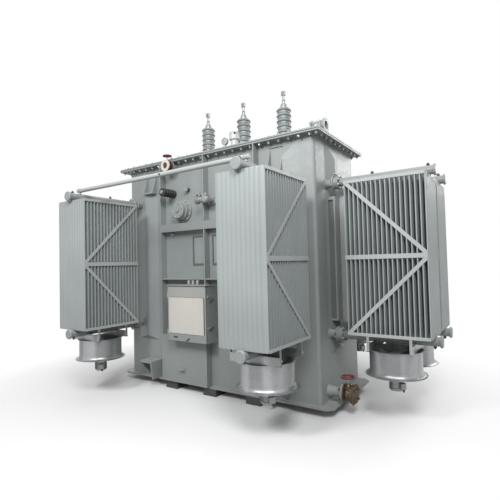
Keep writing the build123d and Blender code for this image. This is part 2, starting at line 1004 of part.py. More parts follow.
def make_fan_casings(group, seats):
    """Fan ducts with a flared inlet, hung from the braces, with the motor on four arms."""
    inner = fan_radius - fan_wall
    flare_top = fan_bottom + fan_flare_height
    duct = [
        (fan_radius, fan_top),
        (fan_radius, flare_top),
        (fan_flare_radius, fan_bottom),
        (fan_flare_radius - fan_wall, fan_bottom),
        (inner, flare_top),
        (inner, fan_top),
    ]
    half_side = panel_width / 2 + support_plate
    with BuildPart() as casings:
        for seat in seats:
            center = seat.origin + seat.z_dir * stack_middle
            fan_plane = Plane(origin=center, x_dir=seat.x_dir, z_dir=seat.x_dir.cross(up))
            revolve(outline(duct, fan_plane), axis=Axis(center, up))
            ground = Plane(origin=center, x_dir=seat.x_dir, z_dir=up)
            with BuildSketch(ground.offset(fan_top)) as bars:
                with GridLocations(0, support_spacing, 1, 2):
                    Rectangle(2 * half_side, support_width)
            extrude(bars.sketch, amount=support_height)
            with BuildSketch(ground.offset(fan_top)) as ears:
                with GridLocations(2 * half_side - support_plate, support_spacing, 2, 2):
                    Rectangle(support_plate, support_width)
            extrude(ears.sketch, amount=panel_bottom - weld_gap - fan_top)
            with BuildSketch(ground.offset(flare_top)) as arms:
                with PolarLocations(0, motor_arms // 2, angular_range=180):
                    Rectangle(2 * inner + fan_wall, motor_arm_width)
            extrude(arms.sketch, amount=motor_arm_height)
            turned(
                axis_plane(center.X, center.Y, motor_bottom, up),
                [(motor_top - motor_bottom, motor_radius), (shaft_top - motor_top, shaft_radius)],
            )
    finish(casings, f"{group}_fan_casings")


def fan_blade(center, outward):
    """One cambered sheet blade that widens from the hub to its tip, in the builder that is open."""
    root = hub_radius * blade_root_share
    tip = fan_radius - fan_wall - blade_tip_gap
    half = blade_tip_width / 2
    chord = up.cross(outward).rotate(Axis((0, 0, 0), outward), blade_angle)
    under = blade_camber - blade_thickness
    with BuildSketch(Plane(origin=center + outward * root, x_dir=chord, z_dir=outward)) as section:
        with BuildLine():
            ThreePointArc((-half, 0), (0, blade_camber), (half, 0))
            Line((half, 0), (half, -blade_thickness))
            ThreePointArc((half, -blade_thickness), (0, under), (-half, -blade_thickness))
            Line((-half, -blade_thickness), (-half, 0))
        make_face()
    planform = outline(
        [(root, -blade_root_width / 2), (tip, -half), (tip, half), (root, blade_root_width / 2)],
        Plane(origin=center, x_dir=outward, z_dir=outward.cross(chord)),
    )
    sheet = extrude(section.sketch, amount=tip - root, mode=Mode.PRIVATE)
    shape = extrude(planform, amount=blade_tip_width, both=True, mode=Mode.PRIVATE)
    add(sheet & shape)


def make_rotor(name, seat):
    """Fan rotor: a hub with a rounded nose over the motor shaft, and pitched blades."""
    center = seat.origin + seat.z_dir * stack_middle
    socket = shaft_top + shaft_end_gap
    hub = [
        (shaft_radius + shaft_clearance, hub_bottom),
        (hub_radius, hub_bottom),
        (hub_radius, hub_top),
        (hub_nose_radius, hub_top + hub_nose_height),
        (0, hub_top + hub_nose_height),
        (0, socket),
        (shaft_radius + shaft_clearance, socket),
    ]
    middle = center + up * (hub_bottom + hub_top) / 2
    with BuildPart() as rotor:
        hub_plane = Plane(origin=center, x_dir=right, z_dir=right.cross(up))
        revolve(outline(hub, hub_plane), axis=Axis(center, up))
        for blade in range(blade_count):
            fan_blade(middle, right.rotate(Axis.Z, blade * 360 / blade_count))
    finish(rotor, name)


def make_tie_bars():
    """Tie bars over the front and back radiators, on posts from their top headers."""
    length = 2 * (front_radiator_x + tie_overrun)
    with BuildPart() as tie_bars:
        for side in (-1, 1):
            y = side * (wall_y + tie_distance)
            turned(axis_plane(-length / 2, y, tie_height, right), [(length, tie_radius)])
            for x in (-front_radiator_x, front_radiator_x):
                turned(axis_plane(x, y, tie_post_bottom, up), [(tie_post_height, tie_post_radius)])
    finish(tie_bars, "tie_bars")


def main():
    """Make every piece in order."""
    make_skids()
    make_base_plate()
    make_tank()
    make_tank_flange()
    make_cover()
    make_long_wall_stiffeners("front_stiffeners", -1)
    make_long_wall_stiffeners("back_stiffeners", 1)
    make_bent_stiffeners()
    make_end_duct()
    make_lower_box()
    make_control_cabinet()
    make_cabinet_brackets()
    make_cabinet_door()
    make_nameplate_frames()
    make_tap_changer_head()
    make_plug_connector()
    make_sampling_fittings()
    make_lifting_lugs()
    make_jacking_pads()
    make_oil_valves()
    filter_seat = axis_plane(filter_x, -wall_y, filter_z, front)
    drain_seat = axis_plane(wall_x, drain_y, drain_z, right)
    make_handwheel("filter_handwheel", filter_seat, filter_stub, 1)
    make_handwheel("drain_handwheel", drain_seat, drain_stub, drain_scale)
    make_bushings()
    make_relief_valve()
    make_dial_gauge()
    make_cover_pipe()
    make_tie_bars()
    for group, seats in seat_groups.items():
        make_panels(group, seats)
        make_headers(group, seats)
        make_braces(group, seats)
        make_fan_casings(group, seats)
        for place, seat in zip(("first", "second"), seats):
            make_rotor(f"{group}_{place}_rotor", seat)


if __name__ == "__main__":
    main()
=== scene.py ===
"""Looks of the power transformer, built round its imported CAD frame, in metres."""

import logging
from dataclasses import dataclass
from enum import Enum
from functools import lru_cache
from math import cos, pi, radians, sin, tau
from typing import Sequence

import bmesh
import bpy
from mathutils import Matrix, Vector


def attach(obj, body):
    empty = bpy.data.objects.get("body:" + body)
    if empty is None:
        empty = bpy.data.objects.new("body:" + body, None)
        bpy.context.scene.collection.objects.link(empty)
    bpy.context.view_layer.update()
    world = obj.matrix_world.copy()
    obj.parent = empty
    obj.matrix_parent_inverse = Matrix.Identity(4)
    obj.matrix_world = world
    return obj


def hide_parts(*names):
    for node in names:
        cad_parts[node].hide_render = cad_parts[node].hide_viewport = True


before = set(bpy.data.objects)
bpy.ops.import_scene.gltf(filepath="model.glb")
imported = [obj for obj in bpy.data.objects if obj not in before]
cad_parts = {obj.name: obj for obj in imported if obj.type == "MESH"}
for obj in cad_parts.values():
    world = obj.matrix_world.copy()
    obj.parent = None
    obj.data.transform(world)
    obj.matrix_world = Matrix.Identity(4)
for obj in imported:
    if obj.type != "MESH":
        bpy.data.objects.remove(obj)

log = logging.getLogger("transformer")

ROOT = "transformer"
TINY = 1e-6
SHARP = radians(21)
BROKEN = radians(35)
CHAMFER = 0.0015
LIP = 0.002
UP, RIGHT, LEFT = Vector((0, 0, 1)), Vector((1, 0, 0)), Vector((-1, 0, 0))
FRONT, BACK = Vector((0, -1, 0)), Vector((0, 1, 0))

Mesh, Node, Socket = bpy.types.Mesh, bpy.types.Node, bpy.types.NodeSocket
Point = tuple[float, float]
Place = tuple[float, float, float]
Colour = tuple[float, float, float]


# Finishes


class Graph:
    """A short way to build a node tree."""

    def __init__(self, tree: bpy.types.NodeTree) -> None:
        """Takes the tree that it builds."""
        self.nodes, self.links = tree.nodes, tree.links

    def add(self, kind: str, inputs: dict | None = None, **settings: object) -> Node:
        """Adds a node.

        Args:
            kind: The node's type.
            inputs: Values or sockets for its inputs, by name or number.
            settings: Its properties.

        Returns:
            The new node.
        """
        node = self.nodes.new(kind)
        for name, value in settings.items():
            setattr(node, name, value)
        for key, value in (inputs or {}).items():
            if isinstance(value, Socket):
                self.links.new(value, node.inputs[key])
            else:
                node.inputs[key].default_value = value
        return node

    def math(self, operation: str, first: Socket, second: Socket) -> Socket:
        """Two numbers combined by an operation."""
        return self.add("ShaderNodeMath", {0: first, 1: second}, operation=operation).outputs[0]

    def background_rays(self) -> Socket:
        """Tells the rays that see the background from those that light the object.

        Returns:
            One on rays from the camera, off gloss and through glass, and nothing on the others.
        """
        rays = self.add("ShaderNodeLightPath").outputs
        seen = self.math("MAXIMUM", rays["Is Camera Ray"], rays["Is Glossy Ray"])
        return self.math("MAXIMUM", seen, rays["Is Transmission Ray"])


class MaterialGraph(Graph):
    """The node tree of one material, on Object coordinates."""

    def __init__(self, name: str) -> None:
        """Makes a material with its Principled shader.

        Args:
            name: The material's name.
        """
        self.material = bpy.data.materials.new(name)
        self.material.use_nodes = True
        super().__init__(self.material.node_tree)
        self.shader = self.nodes["Principled BSDF"]
        self.place = self.add("ShaderNodeTexCoord").outputs["Object"]

    def noise(self, scale: float, detail: float = 4, stretch: Place | None = None) -> Socket:
        """Noise as a number.

        Args:
            scale: Its scale.
            detail: Its octaves.
            stretch: Scales by axis, for streaks and bands, or None.

        Returns:
            The noise's socket.
        """
        place = self.place
        if stretch:
            place = self.add("ShaderNodeMapping", {"Vector": place, "Scale": stretch}).outputs[0]
        inputs = {"Vector": place, "Scale": scale, "Detail": detail}
        return self.add("ShaderNodeTexNoise", inputs).outputs["Fac"]

    def spread(self, value: Socket, low: float, high: float, start: float = 0.3, end: float = 0.7) -> Socket:
        """Maps start to end of a number to low to high.

        Args:
            value: The number's socket.
            low: The result at start.
            high: The result at end.
            start: The number that gives low.
            end: The number that gives high.

        Returns:
            The result's socket.
        """
        inputs = {"Value": value, "From Min": start, "From Max": end, "To Min": low, "To Max": high}
        return self.add("ShaderNodeMapRange", inputs).outputs[0]

    def mix(self, share: Socket, first: object, second: object) -> Socket:
        """Mixes two colours or their sockets, where share is the second one's."""
        sides = {
            key: side if isinstance(side, Socket) else (*side, 1) for key, side in ((6, first), (7, second))
        }
        return self.add("ShaderNodeMix", {0: share, **sides}, data_type="RGBA").outputs[2]

    def tones(self, colour: Colour, scale: float, detail: float, dark: float, light: float = 1) -> Socket:
        """A colour that drifts in clouds between a darker and a lighter tone.

        Args:
            colour: The colour.
            scale: The clouds' scale.
            detail: Their octaves.
            dark: The darker tone's share of the colour.
            light: The lighter tone's share of it.

        Returns:
            The drifting colour's socket.
        """
        cloud = self.spread(self.noise(scale, detail), 0, 1)
        return self.mix(cloud, scaled(colour, dark), scaled(colour, light))

    def upward(self) -> Socket:
        """How much a face looks up."""
        facing = self.add("ShaderNodeNewGeometry").outputs["Normal"]
        return self.add("ShaderNodeSeparateXYZ", {0: facing}).outputs["Z"]

    def bump(self, height: Socket, strength: float, distance: float, under: Socket | None = None) -> Socket:
        """A bump from a height, over another bump if one is given.

        Args:
            height: The height's socket.
            strength: The bump's strength.
            distance: The height of a full step, in metres.
            under: The normal that it lies on, or None.

        Returns:
            The normal's socket.
        """
        inputs = {"Height": height, "Strength": strength, "Distance": distance}
        if under:
            inputs["Normal"] = under
        return self.add("ShaderNodeBump", inputs).outputs[0]

    def finished(self, links: dict[str, Socket], **constants: float) -> bpy.types.Material:
        """Feeds the shader and gives the material.

        Args:
            links: Sockets for the shader's inputs.
            constants: Numbers for its inputs, with underscores for spaces.

        Returns:
            The material.
        """
        for name, value in links.items():
            self.links.new(value, self.shader.inputs[name])
        for name, value in constants.items():
            self.shader.inputs[name.replace("_", " ")].default_value = value
        return self.material


def scaled(colour: Colour, share: float) -> Colour:
    """A colour with its brightness scaled."""
    return tuple(channel * share for channel in colour)


@dataclass(frozen=True)
class Coat:
    """What every finish has: a name, a slot, a colour and a roughness."""

    name: str
    slot: str
    colour: Colour
    roughness: float = 0.5

    def rough(self, graph: MaterialGraph, scale: float, detail: float, less: float, more: float) -> Socket:
        """The finish's roughness in clouds of a scale and detail, from less below it to more above it."""
        return graph.spread(graph.noise(scale, detail), self.roughness - less, self.roughness + more)


@dataclass(frozen=True)
class Paint(Coat):
    """Sprayed paint on steel: tone drift, faint run-off streaks, dust and orange peel."""

    roughness: float = 0.42
    drift: float = 0.1
    streaks: float = 0.06
    dust: Colour = (0.52, 0.51, 0.47)
    dust_share: float = 0.16
    peel: float = 0.12
    wave: float = 0.0

    def material(self) -> bpy.types.Material:
        """Mixes the paint.

        Returns:
            Its material.
        """
        graph = MaterialGraph(self.name)
        tone = graph.tones(self.colour, 1.7, 5, 1 - self.drift, 1 + self.drift / 2)
        streak = graph.spread(graph.noise(3.2, 4, (7, 7, 0.45)), 0, self.streaks, 0.52, 0.75)
        tone = graph.mix(streak, tone, scaled(self.colour, 0.55))
        lying = graph.spread(graph.upward(), 0, 1, 0.35, 0.95)
        patchy = graph.spread(graph.noise(9, 6), 0.25, self.dust_share * 3, 0.35, 0.7)
        tone = graph.mix(graph.math("MULTIPLY", lying, patchy), tone, self.dust)
        skin = graph.bump(graph.noise(260, 2), self.peel, 0.0006)
        if self.wave:
            skin = graph.bump(graph.noise(1.9, 2), 1.0, self.wave, skin)
        links = {"Base Color": tone, "Roughness": self.rough(graph, 24, 5, 0.07, 0.1), "Normal": skin}
        return graph.finished(links, Specular_IOR_Level=0.5)


@dataclass(frozen=True)
class Metal(Coat):
    """Bare or galvanised metal: spangle, brushing or a cast skin, stains, and painted reflection bands where
    asked.
    """

    roughness: float = 0.32
    metallic: float = 0.9
    spangle: float = 0.0
    grain: float = 300.0
    grain_depth: float = 0.0001
    stain: Colour = (0.3, 0.29, 0.27)
    stain_share: float = 0.2
    reflection_bands: float = 0.0

    def material(self) -> bpy.types.Material:
        """Mixes the metal.

        Returns:
            Its material.
        """
        graph = MaterialGraph(self.name)
        tone = graph.tones(self.colour, 12, 5, 0.86)
        rough = self.rough(graph, 40, 4, 0.06, 0.1)
        if self.spangle:
            cells = graph.add("ShaderNodeTexVoronoi", {"Vector": graph.place, "Scale": self.spangle})
            shade = graph.add("ShaderNodeSeparateColor", {0: cells.outputs["Color"]}).outputs[0]
            tone = graph.mix(graph.spread(shade, 0.05, 0.4, 0, 1), tone, scaled(self.colour, 0.7))
            rough = graph.math("ADD", rough, graph.spread(shade, 0, 0.1, 0, 1))
        tone = graph.mix(graph.spread(graph.noise(4, 6), 0, self.stain_share, 0.5, 0.75), tone, self.stain)
        # Painted reflection: darker upright bands in the colour, for the surroundings mirrored in the sheet.
        if self.reflection_bands:
            band = graph.spread(graph.noise(1.0, 1, (6.5, 6.5, 0.15)), 0, self.reflection_bands, 0.4, 0.6)
            tone = graph.mix(band, tone, scaled(self.colour, 0.4))
        skin = graph.bump(graph.noise(self.grain, 3), 0.5, self.grain_depth)
        links = {"Base Color": tone, "Roughness": rough, "Normal": skin}
        return graph.finished(links, Metallic=self.metallic)


@dataclass(frozen=True)
class Plastic(Coat):
    """Moulded plastic or rubber with a fine matt skin."""

    def material(self) -> bpy.types.Material:
        """Mixes the plastic.

        Returns:
            Its material.
        """
        graph = MaterialGraph(self.name)
        tone = graph.tones(self.colour, 18, 4, 0.75, 1.3)
        skin = graph.bump(graph.noise(700, 2), 0.3, 0.0002)
        links = {"Base Color": tone, "Roughness": self.rough(graph, 60, 3, 0.08, 0.08), "Normal": skin}
        return graph.finished(links, Specular_IOR_Level=0.45)


@dataclass(frozen=True)
class Glaze(Coat):
    """Glazed porcelain: soft pooling of tone under a clear gloss, with dust on top faces."""

    dust: Colour = (0.4, 0.4, 0.38)

    def material(self) -> bpy.types.Material:
        """Mixes the glaze.

        Returns:
            Its material.
        """
        graph = MaterialGraph(self.name)
        tone = graph.tones(self.colour, 7, 4, 0.84, 1.1)
        tone = graph.mix(graph.spread(graph.upward(), 0, 0.35, 0.2, 0.9), tone, self.dust)
        skin = graph.bump(graph.noise(45, 3), 0.25, 0.0006)
        links = {"Base Color": tone, "Roughness": self.rough(graph, 30, 4, 0, 0.14), "Normal": skin}
        return graph.finished(links, Coat_Weight=0.15, Coat_Roughness=0.2)


class Finish(Enum):
    """Every finish on the transformer."""

    GREY = Paint("grey_paint", "grey_paint", (0.262, 0.288, 0.283), wave=0.003)
    # Painted shade: a dark grey that stands in for the shadow in the duct's recess and round the nameplate
    # frames.
    PAINTED_SHADE = Paint("painted_shade_grey", "grey_paint", (0.12, 0.132, 0.13), 0.5)
    PALE = Paint("pale_paint", "grey_paint", (0.47, 0.49, 0.49), 0.36)
    FIN = Paint("fin_paint", "fin_paint", (0.3, 0.33, 0.328), 0.46, dust_share=0.12)
    BRACE = Paint("brace_paint", "grey_paint", (0.38, 0.405, 0.4), 0.44)
    SKID = Paint("skid_paint", "skid_black", (0.06, 0.062, 0.065), 0.6, dust_share=0.3)
    CREAM = Paint("cream_enamel", "cabinet_cream", (0.585, 0.56, 0.52), 0.36, drift=0.05)
    BEIGE = Paint("beige_enamel", "cabinet_cream", (0.355, 0.36, 0.335), drift=0.08)
    RED = Paint("red_paint", "red_paint", (0.15, 0.008, 0.017), 0.34, dust_share=0.05)
    FAN = Paint("fan_paint", "fan_black", (0.045, 0.05, 0.052), 0.5)
    # The galvanised sheet carries painted reflection bands.
    ZINC = Metal(
        "galvanised_sheet", "galvanised", (0.44, 0.455, 0.46), 0.3, 0.75,
        spangle=90, stain_share=0.08, reflection_bands=0.7,
    )
    NUT = Metal("zinc_plating", "galvanised", (0.42, 0.43, 0.42), 0.36, 0.6, stain_share=0.3)
    STEEL = Metal("turned_steel", "bare_steel", (0.34, 0.35, 0.35), 0.34, 0.5, grain_depth=0.00006)
    BRONZE = Metal("cast_bronze", "bronze", (0.13, 0.085, 0.045), 0.48, 0.75, grain=160, grain_depth=0.0006)
    BLACK = Plastic("black_plastic", "black_plastic", (0.022, 0.022, 0.024))
    GASKET = Plastic("gasket_rubber", "black_plastic", (0.05, 0.052, 0.052), 0.75)
    DIAL = Plastic("dial_face", "bare_steel", (0.42, 0.43, 0.42), 0.35)
    PORCELAIN = Glaze("grey_glaze", "porcelain", (0.235, 0.255, 0.26), 0.3)


@lru_cache(maxsize=None)
def material_of(finish: Finish) -> bpy.types.Material:
    """The material of a finish, made once."""
    return finish.value.material()


def dress(node: str, finish: Finish) -> None:
    """Gives a finish to a CAD node that stays.

    Args:
        node: The node's name.
        finish: Its finish.
    """
    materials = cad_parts[node].data.materials
    materials.clear()
    materials.append(material_of(finish))


# Shapes


def at(x: float = 0, y: float = 0, z: float = 0) -> Matrix:
    """A frame moved to a place."""
    return Matrix.Translation((x, y, z))


def turned_by(turn: float, axis: str = "Z") -> Matrix:
    """A frame turned about one of its axes."""
    return Matrix.Rotation(turn, 4, axis)


def axis_frame(origin: Sequence[float], along: Vector) -> Matrix:
    """A frame at an origin, whose local z runs along an axis."""
    return Matrix.Translation(origin) @ along.to_track_quat("Z", "Y").to_matrix().to_4x4()


def wall_frame(origin: Sequence[float], outward: Vector) -> Matrix:
    """A frame on a wall: local y points out and z up."""
    axes = Matrix((outward.cross(UP), outward, UP))
    return Matrix.Translation(origin) @ axes.transposed().to_4x4()


def circle(count: int) -> list[float]:
    """Even turns round a circle, in radians."""
    return [tau * step / count for step in range(count)]


def quarter(steps: int) -> list[float]:
    """Turns from nothing to a right angle, in radians."""
    return [step / steps * pi / 2 for step in range(steps + 1)]


def mm(*numbers: float, scale: float = 1) -> list[Point]:
    """A turned profile: its radii and heights in turn, in millimetres, times a scale."""
    lengths = [number / 1000 * scale for number in numbers]
    return list(zip(lengths[::2], lengths[1::2]))


def rounded(half_x: float, half_y: float, radius: float, steps: int = 5) -> list[Point]:
    """A rectangle's outline with round corners, about the origin.

    Args:
        half_x: Half its width.
        half_y: Half its height.
        radius: The corners' radius.
        steps: Straight parts of each corner.

    Returns:
        The outline's points.
    """
    points = []
    for index, (side_x, side_y) in enumerate(((1, 1), (-1, 1), (-1, -1), (1, -1))):
        centre_x, centre_y = side_x * (half_x - radius), side_y * (half_y - radius)
        for step in range(steps + 1):
            turn = (index + step / steps) * pi / 2
            points.append((centre_x + radius * cos(turn), centre_y + radius * sin(turn)))
    return points


class Shape:
    """A mesh under construction, in metres, in the row frame."""

    def __init__(self) -> None:
        """Starts an empty mesh."""
        self.mesh = bmesh.new()

    def row(self, frame_: Matrix, points: Sequence[Sequence[float]]) -> list[bmesh.types.BMVert]:
        """New vertices at points of a frame."""
        return [self.mesh.verts.new(frame_ @ Vector(point)) for point in points]

    def skin(self, rows: list[list[bmesh.types.BMVert]], around: bool = False) -> list[bmesh.types.BMFace]:
        """Joins rows of vertices with faces.

        Args:
            rows: The rows; one of a single vertex is a pole.
            around: True if the last row joins the first; otherwise both are closed.

        Returns:
            The new faces.
        """
        made = []
        count = max(map(len, rows))
        for low, high in list(zip(rows, rows[1:])) + ([(rows[-1], rows[0])] if around else []):
            for index in range(count):
                after = (index + 1) % count
                ends = (low, index), (low, after), (high, after), (high, index)
                corners = list(dict.fromkeys(row[number % len(row)] for row, number in ends))
                if len(corners) > 2:
                    made.append(self.mesh.faces.new(corners))
        if not around:
            made += [self.mesh.faces.new(row) for row in (rows[0], rows[-1]) if len(row) > 2]
        return made

    def turned(
        self, frame_: Matrix, profile: Sequence[Point], segments: int, around: bool = False
    ) -> "Shape":
        """Turns a profile about the frame's local z.

        Args:
            frame_: Where it stands.
            profile: (radius, height) points.
            segments: Facets round it.
            around: True if the profile closes on itself, as a ring's does.

        Returns:
            This shape.
        """
        rows = []
        for radius, height in profile:
            turns = circle(segments) if radius > TINY else [0]
            points = [(radius * cos(turn), radius * sin(turn), height) for turn in turns]
            rows.append(self.row(frame_, points))
        self.skin(rows, around)
        return self

    def prism(
        self, frame_: Matrix, outline: Sequence[Point], depth: float, chamfer: float = CHAMFER
    ) -> "Shape":
        """Raises an outline in the frame's xy plane along its z.

        Args:
            frame_: Where it lies.
            outline: Its corners.
            depth: How far it is raised.
            chamfer: The width of its broken edges.

        Returns:
            This shape.
        """
        faces = self.skin([self.row(frame_, [(x, y, z) for x, y in outline]) for z in (0, depth)])
        bmesh.ops.recalc_face_normals(self.mesh, faces=faces)
        if chamfer:
            edges = {edge for face in faces for edge in face.edges if edge.calc_face_angle(0) > BROKEN}
            bmesh.ops.bevel(
                self.mesh, geom=list(edges), offset=chamfer, segments=1, affect="EDGES", clamp_overlap=True
            )
        return self

    def block(
        self, low: Sequence[float], high: Sequence[float], chamfer: float = CHAMFER, frame_: Matrix = Matrix()
    ) -> "Shape":
        """A plain block with broken edges.

        Args:
            low: Its lowest corner.
            high: Its highest corner.
            chamfer: The width of its broken edges.
            frame_: The frame of the corners.

        Returns:
            This shape.
        """
        outline = [(low[0], low[1]), (high[0], low[1]), (high[0], high[1]), (low[0], high[1])]
        return self.prism(frame_ @ at(0, 0, low[2]), outline, high[2] - low[2], chamfer)

    def border(self, x: Point, y: Point, z: Point, hole_x: Point, hole_z: Point, chamfer: float) -> "Shape":
        """Four upright bars round an opening that looks along y.

        Args:
            x: The outer sides.
            y: The front and the back.
            z: The bottom and the top.
            hole_x: The opening's sides.
            hole_z: The opening's bottom and top.
            chamfer: The width of the bars' broken edges.

        Returns:
            This shape.
        """
        for left, right, low, high in (
            (*x, hole_z[1], z[1]), (*x, z[0], hole_z[0]),
            (x[0], hole_x[0], *hole_z), (hole_x[1], x[1], *hole_z),
        ):
            self.block((left, y[0], low), (right, y[1], high), chamfer)
        return self

    def bar(
        self, path: Sequence[Sequence[float]], radius: float, segments: int, around: bool = False
    ) -> "Shape":
        """A round bar along a path.

        Args:
            path: The points that it follows.
            radius: Its radius.
            segments: Facets round it.
            around: True if the path closes on itself.

        Returns:
            This shape.
        """
        points = [Vector(point) for point in path]
        last = len(points) - 1
        rows = []
        side = None
        for index, point in enumerate(points):
            before = points[index - 1] if index or around else point
            after = points[(index + 1) % (last + 1)] if index < last or around else point
            along = (after - before).normalized()
            side = side or along.orthogonal()
            side = (side - along * side.dot(along)).normalized()
            other = along.cross(side)
            ring = [(side * cos(turn) + other * sin(turn)) * radius for turn in circle(segments)]
            rows.append(self.row(at(*point), ring))
        self.skin(rows, around)
        return self

    def place(self, mesh: Mesh, *frames: Matrix) -> "Shape":
        """Adds copies of a mesh.

        Args:
            mesh: The mesh.
            frames: Where they stand, one for each copy.

        Returns:
            This shape.
        """
        for frame_ in frames:
            copy = mesh.copy()
            copy.transform(frame_)
            self.mesh.from_mesh(copy)
            bpy.data.meshes.remove(copy)
        return self

    def data(self, name: str) -> Mesh:
        """Finishes the mesh: normals outward, smooth but for its sharp edges.

        Args:
            name: The mesh's name.

        Returns:
            The mesh.
        """
        bmesh.ops.recalc_face_normals(self.mesh, faces=self.mesh.faces)
        for face in self.mesh.faces:
            face.smooth = True
        for edge in self.mesh.edges:
            edge.smooth = edge.calc_face_angle(0) < SHARP
        mesh = bpy.data.meshes.new(name)
        self.mesh.to_mesh(mesh)
        self.mesh.free()
        return mesh

    def piece(self, name: str, finish: Finish, *replaces: str, body: str = ROOT) -> None:
        """Makes the shape a piece that rides on a body.

        Args:
            name: The piece's name.
            finish: Its finish.
            replaces: The CAD nodes that it stands for.
            body: The body that it rides on.
        """
        mesh = self.data(name)
        mesh.materials.clear()
        mesh.materials.append(material_of(finish))
        mesh.polygons.foreach_set("material_index", [0] * len(mesh.polygons))
        piece = bpy.data.objects.new(name, mesh)
        bpy.context.scene.collection.objects.link(piece)
        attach(piece, body)
        if replaces:
            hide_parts(*replaces)
        log.info("%s: %d faces on %s", name, len(mesh.polygons), body)


# Repeats


class Layout(Enum):
    """Where a repeated mesh stands."""

    LINE = "line"
    RING = "ring"


class RepeatTree(Graph):
    """A Geometry Nodes tree that repeats its mesh on a line or a ring."""

    INPUTS = {
        "Geometry": "Geometry", "Count": "Int", "Step": "Vector", "Radius": "Float", "Start": "Float",
        "Turn": "Float", "Twist": "Float", "Seed": "Int", "Finish": "Material",
    }

    def __init__(self, layout: Layout) -> None:
        """Builds the tree.

        Args:
            layout: Where its copies stand.
        """
        self.tree = bpy.data.node_groups.new(f"repeat_on_{layout.value}", "GeometryNodeTree")
        super().__init__(self.tree)
        new_socket = self.tree.interface.new_socket
        self.names = {
            name: new_socket(name=name, in_out="INPUT", socket_type=f"NodeSocket{kind}").identifier
            for name, kind in self.INPUTS.items()
        }
        new_socket(name="Geometry", in_out="OUTPUT", socket_type="NodeSocketGeometry")
        given = self.add("NodeGroupInput").outputs
        if layout is Layout.LINE:
            inputs = {"Count": given["Count"], "Offset": given["Step"]}
            points = self.add("GeometryNodeMeshLine", inputs, mode="OFFSET")
        else:
            inputs = {"Vertices": given["Count"], "Radius": given["Radius"]}
            ring = self.add("GeometryNodeMeshCircle", inputs, fill_type="NONE").outputs[0]
            start = self.add("ShaderNodeCombineXYZ", {"Z": given["Start"]}).outputs[0]
            points = self.add("GeometryNodeTransform", {"Geometry": ring, "Rotation": start})
        chance = self.add("FunctionNodeRandomValue", {3: given["Twist"], 8: given["Seed"]}, data_type="FLOAT")
        angle = self.math("MULTIPLY", self.add("GeometryNodeInputIndex").outputs[0], given["Turn"])
        angle = self.math("ADD", self.math("ADD", angle, given["Start"]), chance.outputs[1])
        turn = self.add("ShaderNodeCombineXYZ", {"Z": angle}).outputs[0]
        inputs = {"Points": points.outputs[0], "Instance": given["Geometry"], "Rotation": turn}
        copies = self.add("GeometryNodeInstanceOnPoints", inputs).outputs[0]
        real = self.add("GeometryNodeRealizeInstances", {0: copies}).outputs[0]
        dressed = self.add("GeometryNodeSetMaterial", {"Geometry": real, "Material": given["Finish"]})
        self.add("NodeGroupOutput", {0: dressed.outputs[0]})


@lru_cache(maxsize=None)
def tree_for(layout: Layout) -> RepeatTree:
    """The tree of a layout, made once."""
    return RepeatTree(layout)


def repeated(master: Mesh, layout: Layout, finish: Finish, **values: object) -> Mesh:
    """Repeats a mesh with Geometry Nodes.

    Args:
        master: The mesh that is repeated, about its own origin.
        layout: Where the copies stand.
        finish: Their finish.
        values: The tree's inputs by name.

    Returns:
        A plain mesh in the layout's own frame.
    """
    tree = tree_for(layout)
    carrier = bpy.data.objects.new("repeat_carrier", master)
    bpy.context.scene.collection.objects.link(carrier)
    modifier = carrier.modifiers.new("repeat", "NODES")
    modifier.node_group = tree.tree
    for name, value in {"Finish": material_of(finish), **values}.items():
        modifier[tree.names[name]] = value
    graph = bpy.context.evaluated_depsgraph_get()
    mesh = bpy.data.meshes.new_from_object(carrier.evaluated_get(graph))
    carrier.modifiers.remove(modifier)
    bpy.data.objects.remove(carrier)
    return mesh


@lru_cache(maxsize=None)
def nut(size: float, stud: float = 1.5) -> Mesh:
    """A washer, a nut and the end of its stud, standing on the origin.

    Args:
        size: The thread's diameter.
        stud: The stud's height in diameters.

    Returns:
        The mesh.
    """
    shape, base = Shape(), Matrix()
    shape.turned(base, [(size, 0), (size, size * 0.16), (0, size * 0.16)], 14)
    shape.turned(base, mm(900, 140, 900, 840, 760, 980, 0, 980, scale=size), 6)
    tip = stud * 1000
    shape.turned(base, mm(500, 900, 500, tip - 120, 400, tip, 0, tip, scale=size), 10)
    return shape.data(f"nut_{round(size * 1000)}_{stud}")


def bolt_circle(
    shape: Shape, frame_: Matrix, radius: float, count: int, size: float, start: float = 0, stud: float = 1.5
) -> None:
    """Adds a ring of nuts that stand on the frame's xy plane.

    Args:
        shape: The shape that takes them.
        frame_: The ring's frame.
        radius: The bolt circle's radius.
        count: How many there are.
        size: The thread's diameter.
        start: The first nut's angle.
        stud: The stud's height in diameters.
    """
    values = {"Count": count, "Radius": radius, "Start": start, "Twist": tau, "Seed": count}
    shape.place(repeated(nut(size, stud), Layout.RING, Finish.NUT, **values), frame_)


# Sub-assemblies


